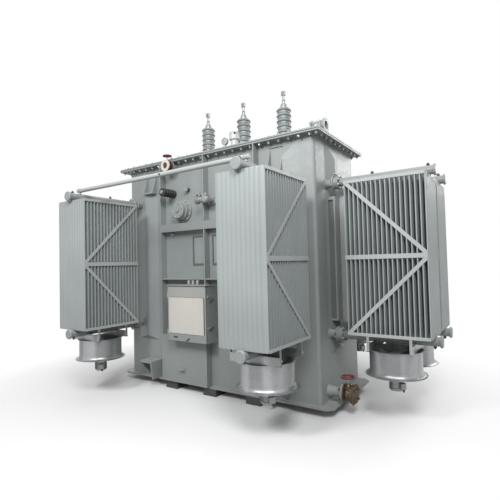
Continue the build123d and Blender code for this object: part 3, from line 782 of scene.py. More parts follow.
@dataclass
class Casework:
    """The tank, its cover and rim, and the CAD plates that keep their own shape."""

    half_length: float = 1.4585
    half_width: float = 0.58
    bottom: float = 0.11
    rim_bottom: float = 2.97
    cover_bottom: float = 2.99
    top: float = 3.01
    wall_overlap: float = 0.015
    overhang: float = 0.1
    bend_radius: float = 0.04
    bead: float = 0.006
    gasket: float = 0.004
    gasket_inset: float = 0.009
    bolt_inset: float = 0.055
    bolt_size: float = 0.02
    bolt_stud: float = 1.45
    long_pitch: float = 0.125
    long_count: int = 24
    end_count: int = 11
    duct_box: tuple[Point, Point, Point] = ((1.4585, 1.5485), (-0.27, -0.13), (0.96, 2.33))
    duct_lip: float = 0.018
    duct_recess: float = 0.02
    PLATES = (
        "base_plate", "front_stiffeners", "back_stiffeners", "bent_stiffeners", "lower_box",
        "control_cabinet", "cabinet_brackets", "lifting_lugs", "jacking_pads",
    )

    def build(self) -> None:
        """Makes the tank, the duct, the cover and its bolts, and dresses the CAD plates."""
        self.tank()
        self.duct()
        self.cover()
        self.rim_bolts()
        for node in self.PLATES:
            dress(node, Finish.GREY)
        dress("skids", Finish.SKID)

    def tank(self) -> None:
        """The tank wall, bent round its upright corners, with weld beads along its foot and rim."""
        outline = rounded(self.half_length, self.half_width, self.bend_radius)
        rise = self.rim_bottom + self.wall_overlap - self.bottom
        shape = Shape().prism(at(z=self.bottom), outline, rise, 0)
        for height in (self.bottom, self.rim_bottom):
            shape.bar([(x, y, height) for x, y in outline], self.bead, 8, True)
        shape.piece("tank_wall", Finish.GREY, "tank")

    def duct(self) -> None:
        """The cable duct on the end wall: a channel with lips round its recessed front side, whose floor is a
        thin sheet of painted shade.
        """
        x, (front, back), z = self.duct_box
        floor = front + self.duct_recess
        hole_x = (x[0] + self.duct_lip / 2, x[1] - self.duct_lip)
        hole_z = (z[0] + self.duct_lip, z[1] - 2 * self.duct_lip)
        shell = Shape().block((x[0], floor, z[0]), (x[1], back, z[1]), 0.002)
        shell.border(x, (front, floor), z, hole_x, hole_z, 0.001).piece("duct_shell", Finish.GREY, "end_duct")
        gap = 0.001
        low = (hole_x[0] + gap, floor - 2 * gap, hole_z[0] + gap)
        high = (hole_x[1] - gap, floor + gap, hole_z[1] - gap)
        # The recess floor: a thin dark sheet of painted shade, darker than the lips round it.
        Shape().block(low, high, 0).piece("duct_recess", Finish.PAINTED_SHADE)

    def cover(self) -> None:
        """The cover and the rim, with the gasket between them set back from their edges."""
        seam, half = self.cover_bottom, self.gasket / 2
        for name, finish, inset, low, high, chamfer, nodes in (
            ("cover_plate", Finish.GREY, 0, seam + half, self.top, 0.002, ["cover"]),
            ("rim_plate", Finish.GREY, 0, self.rim_bottom, seam - half, 0.002, ["tank_flange"]),
            ("cover_gasket", Finish.GASKET, self.gasket_inset, seam - 2 * half, seam + 2 * half, 0, []),
        ):
            x, y = self.half_length + self.overhang - inset, self.half_width + self.overhang - inset
            Shape().block((-x, -y, low), (x, y, high), chamfer).piece(name, finish, *nodes)

    def rim_bolts(self) -> None:
        """Nuts under the rim and on the cover, on one pitch along each side."""
        reach_x, reach_y = self.half_length + self.bolt_inset, self.half_width + self.bolt_inset
        end_pitch = 2 * reach_y / (self.end_count - 1)
        long_start = -(self.long_count - 1) * self.long_pitch / 2
        rows = []
        for side in (-1, 1):
            rows.append((self.long_count, (self.long_pitch, 0, 0), (long_start, side * reach_y)))
            rows.append((self.end_count, (0, end_pitch, 0), (side * reach_x, -reach_y)))
        shape, master = Shape(), nut(self.bolt_size, self.bolt_stud)
        for number, (count, step, (x, y)) in enumerate(rows):
            row = repeated(master, Layout.LINE, Finish.NUT, Count=count, Step=step, Twist=tau, Seed=number)
            shape.place(row, at(x, y, self.top), at(x, y, self.rim_bottom) @ Matrix.Diagonal((1, 1, -1, 1)))
        shape.piece("rim_bolts", Finish.NUT)


@dataclass
class Radiator:
    """Two radiators on one wall: fluted panels, braces, headers with their valves, and fittings."""

    group: str
    outward: Vector
    seats: tuple[Point, ...]
    panel_count: int = 18
    pitch: float = 0.045
    thickness: float = 0.02
    half_width: float = 0.26
    panel_low: float = 0.868
    panel_high: float = 2.422
    corner: float = 0.016
    shoulders: tuple[Place, ...] = ((0.085, 0, 0.75), (0.12, 0, 1))
    flutes: int = 10
    flute_steps: int = 6
    edge: float = 0.012
    edge_half: float = 0.005
    swell: float = 0.01
    valley_half: float = 0.002
    fullness: float = 0.3
    gap: float = 0.298
    header_z: Point = (2.467, 0.823)
    pipe: float = 0.045
    valve_start: float = 0.096
    flange: float = 0.082
    flange_depth: float = 0.016
    valve: float = 0.068
    valve_depth: float = 0.038
    reach: float = 1.133
    cap: float = 0.058
    cap_depth: float = 0.022
    cap_edge: float = 0.006
    vents: tuple[float, ...] = (0.52, 1.06)
    stack_end: float = 1.083
    rail: float = 0.03
    middle_bar: float = 0.044
    diagonal: float = 0.036
    VENT = mm(13, 0, 13, 16, 9, 18, 9, 28, 7, 30, 0, 30)
    VENT_NUT = mm(17, 8, 17, 17, 15, 19, 0, 19)
    SPINDLE = mm(15, 0, 15, 12, 9, 14, 9, 32, 0, 32)

    def frames(self) -> list[Matrix]:
        """The wall frame under each radiator."""
        return [wall_frame((x, y, 0), self.outward) for x, y in self.seats]

    def build(self) -> None:
        """Makes the panels, the braces, the headers and their fittings."""
        self.panels()
        self.braces()
        self.headers()

    def panel(self) -> Mesh:
        """One pressed panel: two fluted sheets joined at a thin edge, with round corners.

        Returns:
            The panel's mesh.
        """
        span, wide, edge = self.half_width - self.edge, self.half_width, self.edge_half
        section = [(-wide, edge), (-span, edge)]
        count = self.flutes * self.flute_steps
        for index in range(1, count):
            rise = abs(sin(pi * self.flutes * index / count)) ** self.fullness
            bulge = self.valley_half + (self.swell - self.valley_half) * rise
            section.append((2 * span * index / count - span, bulge))
        section += [(span, edge), (wide, edge)]
        levels = [
            (self.corner * (1 - cos(turn)), self.corner * (1 - sin(turn)), 0.15 + 0.1 * step)
            for step, turn in enumerate(quarter(4))
        ]
        levels += self.shoulders
        heights = [(self.panel_low + rise, inset, swell) for rise, inset, swell in levels]
        heights += [(self.panel_high - rise, inset, swell) for rise, inset, swell in reversed(levels)]
        shape, rows = Shape(), []
        for height, inset, swell in heights:
            points = []
            for side in (1, -1):
                for x, bulge in section[::side]:
                    lift = edge + (bulge - edge) * swell
                    points.append((x * (wide - inset) / wide, self.thickness / 2 + side * lift, height))
            rows.append(shape.row(Matrix(), points))
        shape.skin(rows)
        return shape.data(f"{self.group}_panel")

    def panels(self) -> None:
        """The stacks of panels, repeated outward from the wall."""
        step = (0, self.pitch, 0)
        stack = repeated(self.panel(), Layout.LINE, Finish.FIN, Count=self.panel_count, Step=step)
        shape = Shape().place(stack, *(place @ at(y=self.gap) for place in self.frames()))
        shape.piece(f"{self.group}_fluted_panels", Finish.FIN, f"{self.group}_radiator_panels")

    def braces(self) -> None:
        """Flat bars welded to both sides of each stack: two rails, a middle bar and a K."""
        near, far, low, high = self.gap, self.stack_end, self.panel_low, self.panel_high
        half, middle = self.middle_bar / 2, (low + high) / 2
        bars = []
        for end, bottom, top, depth in (
            (far - 0.012, high - self.rail, high, 0.006),
            (far - 0.012, low, low + self.rail, 0.006),
            (far - 0.01, middle - half, middle + half, 0.005),
        ):
            bars.append(([(near, bottom), (end, bottom), (end, top), (near, top)], depth))
        for way, rail in ((1, high - self.rail / 2), (-1, low + self.rail / 2)):
            start, end = Vector((near + 0.012, rail)), Vector((far - 0.018, middle + way * half))
            slant = (end - start).normalized()
            off = Vector((-slant.y, slant.x)) * self.diagonal / 2
            corners = (start - off, end - off, end + off, start + off)
            bars.append(([tuple(corner) for corner in corners], 0.004))
        upright = Matrix(((0, 0, 1, 0), (1, 0, 0, 0), (0, 1, 0, 0), (0, 0, 0, 1)))
        shape = Shape()
        for place in self.frames():
            for side in (-1, 1):
                for outline, depth in bars:
                    start = side * self.half_width - (depth if side < 0 else 0)
                    shape.prism(place @ at(start) @ upright, outline, depth, 0.001)
        shape.piece(f"{self.group}_brace_bars", Finish.BRACE, f"{self.group}_radiator_braces")

    def header_profile(self) -> list[Point]:
        """A header pipe's profile, with the valve between its flanges and the end cap.

        Returns:
            The profile's points.
        """
        pipe, flange, depth, first = self.pipe, self.flange, self.flange_depth, self.valve_start
        second = first + depth + self.valve_depth
        profile = [(pipe + 0.012, 0), (pipe + 0.012, 0.006), (pipe, 0.016), (pipe, first)]
        for start in (first, second):
            end = start + depth
            profile += [(flange - LIP, start), (flange, start + LIP)]
            profile += [(flange, end - LIP), (flange - LIP, end)]
            if start == first:
                profile += [(self.valve, end), (self.valve, second)]
        cap, dome, edge = self.cap, self.reach - self.cap_depth, self.cap_edge
        profile += [(pipe, second + depth), (pipe, dome), (cap, dome), (cap, self.reach - edge)]
        return profile + [(cap - edge, self.reach), (0, self.reach)]

    def headers(self) -> None:
        """Header pipes with butterfly valves, end caps, vent plugs and drain plugs."""
        pipes, nuts, plugs, levers = Shape(), Shape(), Shape(), Shape()
        first, end = self.valve_start, self.valve_start + 2 * self.flange_depth + self.valve_depth
        for place in self.frames():
            for way, height in zip((1, -1), self.header_z):
                tip = place @ Vector((0, 0, height))
                pipes.turned(axis_frame(tip, self.outward), self.header_profile(), 40)
                for start, side in ((first, -1), (end, 1)):
                    seat = axis_frame(tip + self.outward * start, self.outward * side)
                    bolt_circle(nuts, seat, self.flange - 0.015, 8, 0.012, pi / 8, 1.6)
                self.valve_lever(levers, place, height, way)
                for distance in self.vents if way > 0 else self.vents[1:]:
                    foot = place @ Vector((0, distance, height + way * (self.pipe - 0.003)))
                    stand = axis_frame(foot, UP * way)
                    plugs.turned(stand, self.VENT, 16).turned(stand, self.VENT_NUT, 6)
        pipes.piece(f"{self.group}_header_pipes", Finish.GREY, f"{self.group}_radiator_headers")
        nuts.piece(f"{self.group}_header_bolts", Finish.NUT)
        plugs.piece(f"{self.group}_vent_plugs", Finish.GASKET)
        levers.piece(f"{self.group}_valve_levers", Finish.STEEL)

    def valve_lever(self, shape: Shape, place: Matrix, height: float, way: int) -> None:
        """The spindle and the lever of a butterfly valve.

        Args:
            shape: The shape that takes them.
            place: The radiator's wall frame.
            height: The header's height.
            way: 1 for the top header, whose lever stands up, and -1 for the bottom one.
        """
        distance = self.valve_start + self.flange_depth + self.valve_depth / 2
        foot = place @ Vector((0, distance, height + way * (self.valve - 0.004)))
        shape.turned(axis_frame(foot, UP * way), self.SPINDLE, 16)
        low, high = sorted(height + way * (self.valve + lift) for lift in (0.018, 0.023))
        shape.block((-0.01, distance - 0.012, low), (0.075, distance + 0.012, high), 0.001, place)


@dataclass
class Fans:
    """The two fans under a pair of radiators: casings, supports and motors."""

    group: str
    outward: Vector
    seats: tuple[Point, ...]
    middle: float = 0.6905
    radius: float = 0.252
    wall: float = 0.005
    low: float = 0.478
    high: float = 0.72
    flare: float = 0.295
    flare_height: float = 0.05
    collar: float = 0.016
    half_side: float = 0.266
    support_spacing: float = 0.4
    support_width: float = 0.04
    web_height: float = 0.08
    plate: float = 0.006
    ear: float = 0.026
    ear_top: float = 0.8677
    motor: float = 0.072
    motor_low: float = 0.31
    motor_high: float = 0.594
    core_inset: float = 0.006
    shaft: float = 0.014
    shaft_top: float = 0.62
    arm_width: float = 0.03
    arm_height: float = 0.024
    ribs: int = 26
    GLAND = mm(12, 0, 12, 14, 9, 16, 9, 30, 0, 30)

    def build(self) -> None:
        """Makes both casings with their supports, and both motors, and dresses the rotors."""
        sheet, bars, motors, bits, nuts = Shape(), Shape(), Shape(), Shape(), Shape()
        for (x, y), place in zip(self.seats, ("first", "second")):
            centre = Vector((x, y, 0)) + self.outward * self.middle
            stand = Matrix.Translation(centre)
            sheet.turned(stand, self.casing_profile(), 96, True)
            self.supports(bars, nuts, wall_frame(centre, self.outward))
            self.motor_body(motors, bits, stand)
            dress(f"{self.group}_{place}_rotor", Finish.FAN)
        sheet.piece(f"{self.group}_casing_sheets", Finish.ZINC, f"{self.group}_fan_casings")
        bars.piece(f"{self.group}_casing_supports", Finish.ZINC)
        motors.piece(f"{self.group}_fan_motors", Finish.STEEL)
        bits.piece(f"{self.group}_motor_terminals", Finish.BLACK)
        nuts.piece(f"{self.group}_casing_bolts", Finish.NUT)

    def casing_profile(self) -> list[Point]:
        """The casing's closed section: a collar, the wall and a bell mouth with a rolled lip.

        Returns:
            The section's points.
        """
        wall, radius, foot = self.wall, self.radius, self.low - 0.004
        bell = [
            (radius + (self.flare - radius) * (1 - cos(turn)), self.low + self.flare_height * (1 - sin(turn)))
            for turn in quarter(7)
        ]
        inside = [
            (out - wall, height + (0.002 if out > radius + 0.01 else 0)) for out, height in reversed(bell)
        ]
        collar, under = radius + self.collar, self.high - wall
        top = [(radius - wall, self.high), (collar, self.high), (collar, under), (radius, under)]
        return top + bell + [(self.flare, foot), (self.flare - 0.008, foot)] + inside

    def supports(self, bars: Shape, nuts: Shape, place: Matrix) -> None:
        """Cross bars with ears up to the radiator's lower rails, and the motor's arms.

        Args:
            bars: The shape that takes the bars.
            nuts: The shape that takes their bolts.
            place: The fan's frame, with y outward.
        """
        half, side_x, plate, top = self.support_width / 2, self.half_side, self.plate, self.high
        for offset in (-self.support_spacing / 2, self.support_spacing / 2):
            low, high = offset - half, offset + half
            bars.block((-side_x, low, top), (side_x, high, top + plate), 0.001, place)
            web_top = (side_x - plate, high, top + self.web_height)
            bars.block((plate - side_x, high - plate, top + plate), web_top, 0.001, place)
            for side in (-1, 1):
                face = side * side_x
                left, right = sorted((face, face - side * plate))
                bars.block((left, high - self.ear, top), (right, high, self.ear_top), 0.001, place)
                nuts.place(nut(0.008), place @ at(face, offset, top + 0.05) @ turned_by(side * pi / 2, "Y"))
                nuts.place(nut(0.01), place @ at(side * 0.15, offset + half / 3, top + plate))
        inner, half_arm = self.radius - self.wall / 2, self.arm_width / 2
        arm_low = self.low + self.flare_height
        arm_high = arm_low + self.arm_height
        for turn in (0, pi / 2):
            arm = place @ turned_by(turn)
            bars.block((-inner, -half_arm, arm_low), (inner, half_arm, arm_high), 0.002, arm)

    def motor_body(self, motors: Shape, bits: Shape, stand: Matrix) -> None:
        """A finned motor with its end bell, shaft, terminal box and gland.

        Args:
            motors: The shape that takes the metal.
            bits: The shape that takes the black gland.
            stand: The fan's axis.
        """
        wide, core, shaft, tip = self.motor, self.motor - self.core_inset, self.shaft, self.shaft_top
        low, high = self.motor_low, self.motor_high
        motors.turned(stand, [
            (0, low), (core - 0.02, low), (core - 0.006, low + 0.004), (core, low + 0.014),
            (wide, low + 0.018), (wide, low + 0.03), (core, low + 0.034), (core, high - 0.02),
            (wide, high - 0.016), (wide, high - 0.004), (wide - 0.006, high), (shaft, high),
            (shaft, tip - LIP), (shaft - LIP, tip), (0, tip),
        ], 48)
        rib = Shape().block((-0.005, -0.0015, low + 0.032), (0.0055, 0.0015, high - 0.018), 0)
        ring = {"Count": self.ribs, "Radius": core, "Turn": tau / self.ribs}
        motors.place(repeated(rib.data("motor_rib"), Layout.RING, Finish.STEEL, **ring), stand)
        box = stand @ turned_by(radians(-35))
        motors.block((wide - 0.012, -0.03, low + 0.03), (wide + 0.032, 0.03, low + 0.09), 0.003, box)
        bits.turned(axis_frame(box @ Vector((wide + 0.012, 0.012, low + 0.03)), -UP), self.GLAND, 12)


@dataclass
class Bushings:
    """Three bushings in a row: flanges, porcelains with thin sheds, caps and terminals."""

    offset: float = 0.035
    spacing: float = 0.65
    y: float = 0.203
    seat: float = 3.01
    flange: float = 0.12
    flange_height: float = 0.06
    bolt_inset: float = 0.014
    trunk: float = 0.082
    shed: float = 0.1
    sheds: int = 8
    porcelain: float = 0.586
    cap: float = 0.052
    cap_height: float = 0.07
    collar: float = 0.024
    collar_height: float = 0.03
    stem: float = 0.015
    stem_length: float = 0.08
    block: Place = (0.028, 0.018, 0.06)
    block_bolts: float = 0.015
    SHED_SHARES = (
        (0, 0, 0.04), (0, 0.005, 0.1), (0, 0.005, 0.16), (0, 0, 0.24), (0, 0, 0.44), (0, 0.004, 0.52),
        (1, -0.003, 0.55), (1, 0, 0.6), (1, -0.002, 0.66), (0, 0.008, 0.8), (0, 0.001, 0.92),
    )

    def build(self) -> None:
        """Makes the three bushings."""
        metal, glaze, nuts, tops = Shape(), Shape(), Shape(), Shape()
        seat, foot = self.seat, self.seat + self.flange_height
        for index in (-1, 0, 1):
            stand = at(self.offset + index * self.spacing, self.y)
            metal.turned(stand, [
                (self.flange, seat), (self.flange, seat + 0.018), (self.flange - 0.004, seat + 0.022),
                (self.shed - 0.01, seat + 0.024), (self.trunk + 0.014, foot - 0.012),
                (self.trunk + 0.01, foot), (0, foot),
            ], 56)
            bolt_circle(nuts, stand @ at(z=seat + 0.022), self.flange - self.bolt_inset, 8, 0.012, 0.2)
            glaze.turned(stand @ at(z=foot), self.sheds_profile(), 64)
            self.terminal(tops, nuts, stand, foot + self.porcelain)
        metal.piece("bushing_seats", Finish.STEEL, "bushing_flanges")
        glaze.piece("porcelain_sheds", Finish.PORCELAIN, "bushing_porcelains")
        tops.piece("terminal_fittings", Finish.STEEL, "bushing_terminals")
        nuts.piece("bushing_bolts", Finish.NUT)

    def sheds_profile(self) -> list[Point]:
        """The porcelain's profile, with thin drooping sheds on a slightly waisted trunk.

        Returns:
            The profile's points.
        """
        pitch = self.porcelain / self.sheds
        profile = [(0, 0), (self.trunk, 0)]
        for shed in range(self.sheds):
            for out, offset, share in self.SHED_SHARES:
                profile.append(((self.shed if out else self.trunk) + offset, (shed + share) * pitch))
        return profile + [(self.trunk - 0.002, self.porcelain), (0, self.porcelain)]

    def terminal(self, tops: Shape, nuts: Shape, stand: Matrix, low: float) -> None:
        """The cap, the stem and the drilled block on top of a bushing.

        Args:
            tops: The shape that takes the metal.
            nuts: The shape that takes the bolts.
            stand: The bushing's axis.
            low: The cap's underside.
        """
        cap, wide, stem = self.cap, self.collar, self.stem
        collar = low + self.cap_height
        neck = collar + self.collar_height
        block = neck + self.stem_length
        tops.turned(stand, [
            (0, low), (cap, low), (cap, low + 0.02), (cap - 0.008, low + 0.026),
            (cap - 0.012, collar - 0.012), (cap - 0.02, collar - LIP), (wide, collar), (wide, neck - LIP),
            (wide - 0.003, neck), (stem, neck), (stem, block - LIP), (stem, block), (0, block),
        ], 40)
        tops.turned(stand @ at(z=neck), mm(24, 8, 24, 22, 0, 22, 0, 8), 6)
        half_x, half_y, height = self.block
        tops.block((-half_x, -half_y, block), (half_x, half_y, block + height), 0.002, stand)
        for level in (-self.block_bolts, self.block_bolts):
            for way in (FRONT, BACK):
                seat = stand @ Vector((0, way.y * half_y, block + height / 2 + level))
                nuts.place(nut(0.011), axis_frame(seat, way))


@dataclass
class CoverFittings:
    """The relief valve, the dial gauge and the flanged pipe on the cover."""

    seat: float = 3.01
    relief: Point = (0.408, -0.55)
    gauge: Point = (0.271, -0.56)
    gauge_height: float = 0.103
    gauge_radius: float = 0.045
    gauge_depth: float = 0.034
    ticks: int = 24
    needle_turn: float = 0.7
    pipe_start: float = 1.32
    pipe_length: float = 0.17
    pipe_y: float = -0.3
    pipe_z: float = 3.13
    pipe: float = 0.052
    valve: float = 0.066
    valve_length: float = 0.08
    bore: float = 0.044
    flange: float = 0.08
    flange_depth: float = 0.02
    flange_bolts: float = 0.064
    saddle: float = 0.04
    RELIEF = mm(
        62, 0, 62, 17, 60, 20, 50, 20, 46, 30, 46, 84, 50, 92, 62, 98, 66, 106, 66, 116, 62, 122,
        60, 168, 64, 174, 62, 184, 52, 194, 32, 200, 12, 202, 0, 202,
    )
    PIN = mm(0, -10, 11, -10, 11, 16, 8, 20, 0, 20)

    def build(self) -> None:
        """Makes the three fittings and their bolts."""
        nuts = Shape()
        self.relief_valve(nuts)
        self.dial_gauge()
        self.cover_pipe(nuts)
        nuts.piece("cover_fitting_bolts", Finish.NUT)

    def relief_valve(self, nuts: Shape) -> None:
        """A flanged body under a domed spring hat, with its black indicator pin.

        Args:
            nuts: The shape that takes its bolts.
        """
        stand = at(*self.relief, self.seat)
        Shape().turned(stand, self.RELIEF, 56).piece("relief_valve_body", Finish.PALE, "relief_valve")
        bolt_circle(nuts, stand @ at(z=0.02), 0.052, 6, 0.009, 0.1)
        run = axis_frame(stand @ Vector((0.036, -0.046, 0.166)), Vector((0.6, -0.8, 0)))
        Shape().turned(run, self.PIN, 24).piece("relief_valve_pin", Finish.BLACK)

    def dial_gauge(self) -> None:
        """A dial in a bezel on a short post, with plain ticks and a needle."""
        x, y = self.gauge
        wide, depth, height = self.gauge_radius, self.gauge_depth, self.gauge_height
        run = axis_frame((x, y + depth / 2, self.seat + height), FRONT)
        case = Shape().turned(run, [
            (0, 0), (wide - 0.006, 0), (wide - LIP, 0.004), (wide - LIP, depth - 0.012), (wide, depth - 0.01),
            (wide, depth - LIP), (wide - LIP, depth), (wide - 0.006, depth), (wide - 0.007, depth - 0.004),
            (0, depth - 0.004),
        ], 48)
        case.turned(at(x, y, self.seat), [
            (0.026, 0), (0.026, 0.01), (0.016, 0.013), (0.016, height - 0.04), (0.02, height - 0.038),
            (0.02, height - 0.024), (0.012, height - 0.02), (0.012, height), (0, height),
        ], 24)
        case.piece("dial_gauge_case", Finish.GREY, "dial_gauge")
        face = [(wide - 0.0075, depth - 0.0045), (wide - 0.0075, depth - 0.0035), (0, depth - 0.0035)]
        Shape().turned(run, face, 40).piece("dial_gauge_face", Finish.DIAL)
        tick = Shape().block((-0.003, -0.0005, 0), (0.003, 0.0005, 0.0005), 0).data("dial_tick")
        values = {"Count": self.ticks, "Radius": wide - 0.013, "Turn": tau / self.ticks}
        marks = Shape().place(repeated(tick, Layout.RING, Finish.BLACK, **values), run @ at(z=depth - 0.0037))
        needle = run @ turned_by(self.needle_turn)
        marks.block((-0.0012, -0.006, depth - 0.0035), (0.0012, 0.022, depth - 0.0022), 0, needle)
        marks.piece("dial_gauge_marks", Finish.BLACK)

    def cover_pipe(self, nuts: Shape) -> None:
        """A flanged pipe stub with its valve over the cover's right edge, on a short saddle.

        Args:
            nuts: The shape that takes its bolts and its vent plug.
        """
        start = (self.pipe_start, self.pipe_y, self.pipe_z)
        end, pipe, bore = self.pipe_length, self.pipe, self.bore
        flange, depth, valve = self.flange, self.flange_depth, self.valve
        near, far = (end - self.valve_length) / 2, (end + self.valve_length) / 2
        shape = Shape().turned(axis_frame(start, RIGHT), [
            (0, depth), (bore, depth), (bore, end - LIP), (bore + LIP, end), (flange - LIP, end),
            (flange, end - LIP), (flange, end - depth + LIP), (flange - LIP, end - depth),
            (pipe, end - depth), (pipe, far), (valve - 0.006, far), (valve, far - 0.01),
            (valve, near + 0.01), (valve - 0.006, near), (pipe, near), (pipe, depth),
            (flange - LIP, depth), (flange, depth - LIP), (flange, LIP), (flange - LIP, 0), (0, 0),
        ], 56)
        x, y, z = self.pipe_start + end / 2, self.pipe_y, self.pipe_z
        half = self.saddle
        shape.block((x - half, y - half, self.seat), (x + half, y + half, z), 0.003)
        shape.piece("cover_pipe_stub", Finish.GREY, "cover_pipe")
        vent = at(x, y, z + valve - 0.002)
        nuts.turned(vent, mm(14, 0, 14, 12, 0, 12), 6).turned(vent, mm(8, 10, 8, 22, 0, 22), 14)
        bolt_circle(nuts, axis_frame(start, LEFT), self.flange_bolts, 4, 0.012, pi / 4)


@dataclass
class WallFittings:
    """The tap-changer head, the plug, the sampling fittings and the plates on the front wall."""

    wall: float = -0.58
    tap: Point = (-0.415, 2.316)
    plug: Point = (-0.59, 2.56)
    nozzle: Point = (-0.33, 2.59)
    sample: Point = (0.085, 2.405)
    branch: Point = (-0.11, 2.476)
    barrel_y: float = -0.732
    bonnet: float = 0.04
    bonnet_bolts: float = 0.029
    boss: Point = (-0.607, 2.02)
    frame_spans: tuple[Point, ...] = ((-0.262, -0.021), (0.058, 0.294))
    frame_z: Point = (1.608, 1.978)
    frame_rim: float = 0.014
    frame_depth: float = 0.014
    plate_gap: float = 0.004
    plate_depth: float = 0.005
    screw_inset: float = 0.012
    TAP = mm(
        145, 0, 145, 22, 142, 26, 124, 26, 122, 32, 122, 76, 118, 82, 106, 82, 106, 124, 101, 130, 36, 130,
        34, 123, 30, 123, 30, 138, 26, 142, 0, 142,
    )
    BARREL = mm(
        36, 0, 40, 4, 40, 60, 36, 66, 36, 142, 52, 150, 52, 158, 44, 160, 44, 163, 52, 165, 52, 169, 49, 171,
        20, 171, 20, 158, 0, 158,
    )
    BRANCH = mm(34, 0, 34, 20, 28, 26, 28, 58, 40, 62, 40, 80, 38, 82, 16, 82, 16, 66, 0, 66)

    def seat(self, point: Point, out: float = 0) -> Matrix:
        """The frame of a fitting that points out of the front wall."""
        return axis_frame((point[0], self.wall - out, point[1]), FRONT)

    def build(self) -> None:
        """Makes the fittings and their bolts."""
        nuts = Shape()
        run = self.seat(self.tap)
        Shape().turned(run, self.TAP, 64).piece("tap_changer_body", Finish.GREY, "tap_changer_head")
        bolt_circle(nuts, run @ at(z=0.026), 0.132, 12, 0.012, 0.1, 1.8)
        bolt_circle(nuts, run @ at(z=0.13), 0.084, 6, 0.01, 0.2)
        self.plug_connector()
        self.sampling(nuts)
        self.plate_frames(nuts)
        nuts.piece("wall_fitting_bolts", Finish.NUT)

    def plate_frames(self, nuts: Shape) -> None:
        """The two welded frames, dark with painted shade, with blank plates, and the earthing boss under the
        band.

        Args:
            nuts: The shape that takes the plates' screws and the boss's nut.
        """
        frames, blanks = Shape(), Shape()
        low, high = self.frame_z
        rim, inset = self.frame_rim, self.frame_rim + self.plate_gap
        screw = inset + self.screw_inset
        for left, right in self.frame_spans:
            hole_x, hole_z = (left + rim, right - rim), (low + rim, high - rim)
            depth = (self.wall - self.frame_depth, self.wall)
            frames.border((left, right), depth, self.frame_z, hole_x, hole_z, 0.001)
            corner = (left + inset, self.wall - self.plate_depth, low + inset)
            blanks.block(corner, (right - inset, self.wall, high - inset), 0.0008)
            for x in (left + screw, right - screw):
                for z in (low + screw, high - screw):
                    nuts.place(nut(0.005, 1.05), self.seat((x, z), self.plate_depth))
        # The frame bars get painted shade: a dark grey for the shadow round the plates.
        frames.piece("plate_frame_bars", Finish.PAINTED_SHADE, "nameplate_frames")
        blanks.piece("blank_plates", Finish.GREY)
        boss = Shape().turned(self.seat(self.boss), mm(20, 0, 20, 30, 17, 34, 0, 34), 20)
        boss.piece("earthing_boss", Finish.PALE)
        nuts.place(nut(0.012, 1.1), self.seat(self.boss, 0.034))

    def plug_connector(self) -> None:
        """A black ribbed plug with rounded ribs and a bright nose."""
        run = self.seat(self.plug)
        profile = mm(50, 0, 50, 12, 42, 16)
        for low in range(22, 22 + 5 * 44, 44):
            profile += mm(42, low, 50, low + 2, 55, low + 7, 55, low + 15, 50, low + 20, 42, low + 22)
        body = Shape().turned(run, profile + mm(40, 220, 0, 220), 40)
        body.piece("plug_body", Finish.BLACK, "plug_connector")
        Shape().turned(run, mm(24, 216, 24, 230, 20, 236, 0, 238), 32).piece("plug_nose", Finish.STEEL)

    def sampling(self, nuts: Shape) -> None:
        """The sampling valve with its flanged barrel, the cock and the capped nozzle.

        Args:
            nuts: The shape that takes their bolts.
        """
        metal, grey, dark = Shape(), Shape(), Shape()
        run, half = self.seat(self.sample), self.bonnet
        x, y, z = self.sample[0], self.barrel_y, self.sample[1]
        reach = self.wall - y
        grey.turned(run, mm(58, 0, 58, 18, 55, 22, 38, 22, 34, 30) + [
            (0.034, reach - 0.04), (0.046, reach - 0.03), (0.052, reach), (0.046, reach + 0.03),
            (0.03, reach + 0.042), (0, reach + 0.046),
        ], 40)
        bolt_circle(nuts, run @ at(z=0.022), 0.047, 4, 0.01, pi / 4)
        grey.block((x - half, y - half, z + 0.036), (x + half, y + half, z + 0.05), 0.003)
        grey.turned(at(x, y, z), mm(30, 0, 28, 36, 0, 36), 24)
        metal.turned(at(x, y, z + 0.05), mm(18, 0, 18, 12, 10, 14, 10, 30, 0, 30), 20)
        spacing = self.bonnet_bolts
        for bolt_x in (x - spacing, x + spacing):
            for bolt_y in (y - spacing, y + spacing):
                nuts.place(nut(0.009), at(bolt_x, bolt_y, z + 0.05))
        barrel = axis_frame((x + 0.034, y, z), LEFT)
        branch, nozzle = self.seat(self.branch), self.seat(self.nozzle)
        metal.turned(barrel, self.BARREL, 40).turned(branch, self.BRANCH, 36)
        metal.turned(nozzle, mm(30, 34, 34, 37, 34, 54, 30, 60, 0, 60), 32)
        # Black discs on the barrel's and the branch's bore floors are painted shade inside the bores; the
        # third piece is the nozzle's dark neck under its cap.
        dark.turned(barrel, mm(19.5, 157, 19.5, 159.5, 0, 159.5), 24)
        dark.turned(branch, mm(15.5, 64, 15.5, 68, 0, 68), 24)
        dark.turned(nozzle, mm(26, 0, 26, 30, 22, 36, 0, 36), 32)
        metal.piece("sampling_metalwork", Finish.STEEL, "sampling_fittings")
        grey.piece("sampling_valve_body", Finish.GREY)
        dark.piece("sampling_bore_shade_and_neck", Finish.BLACK)


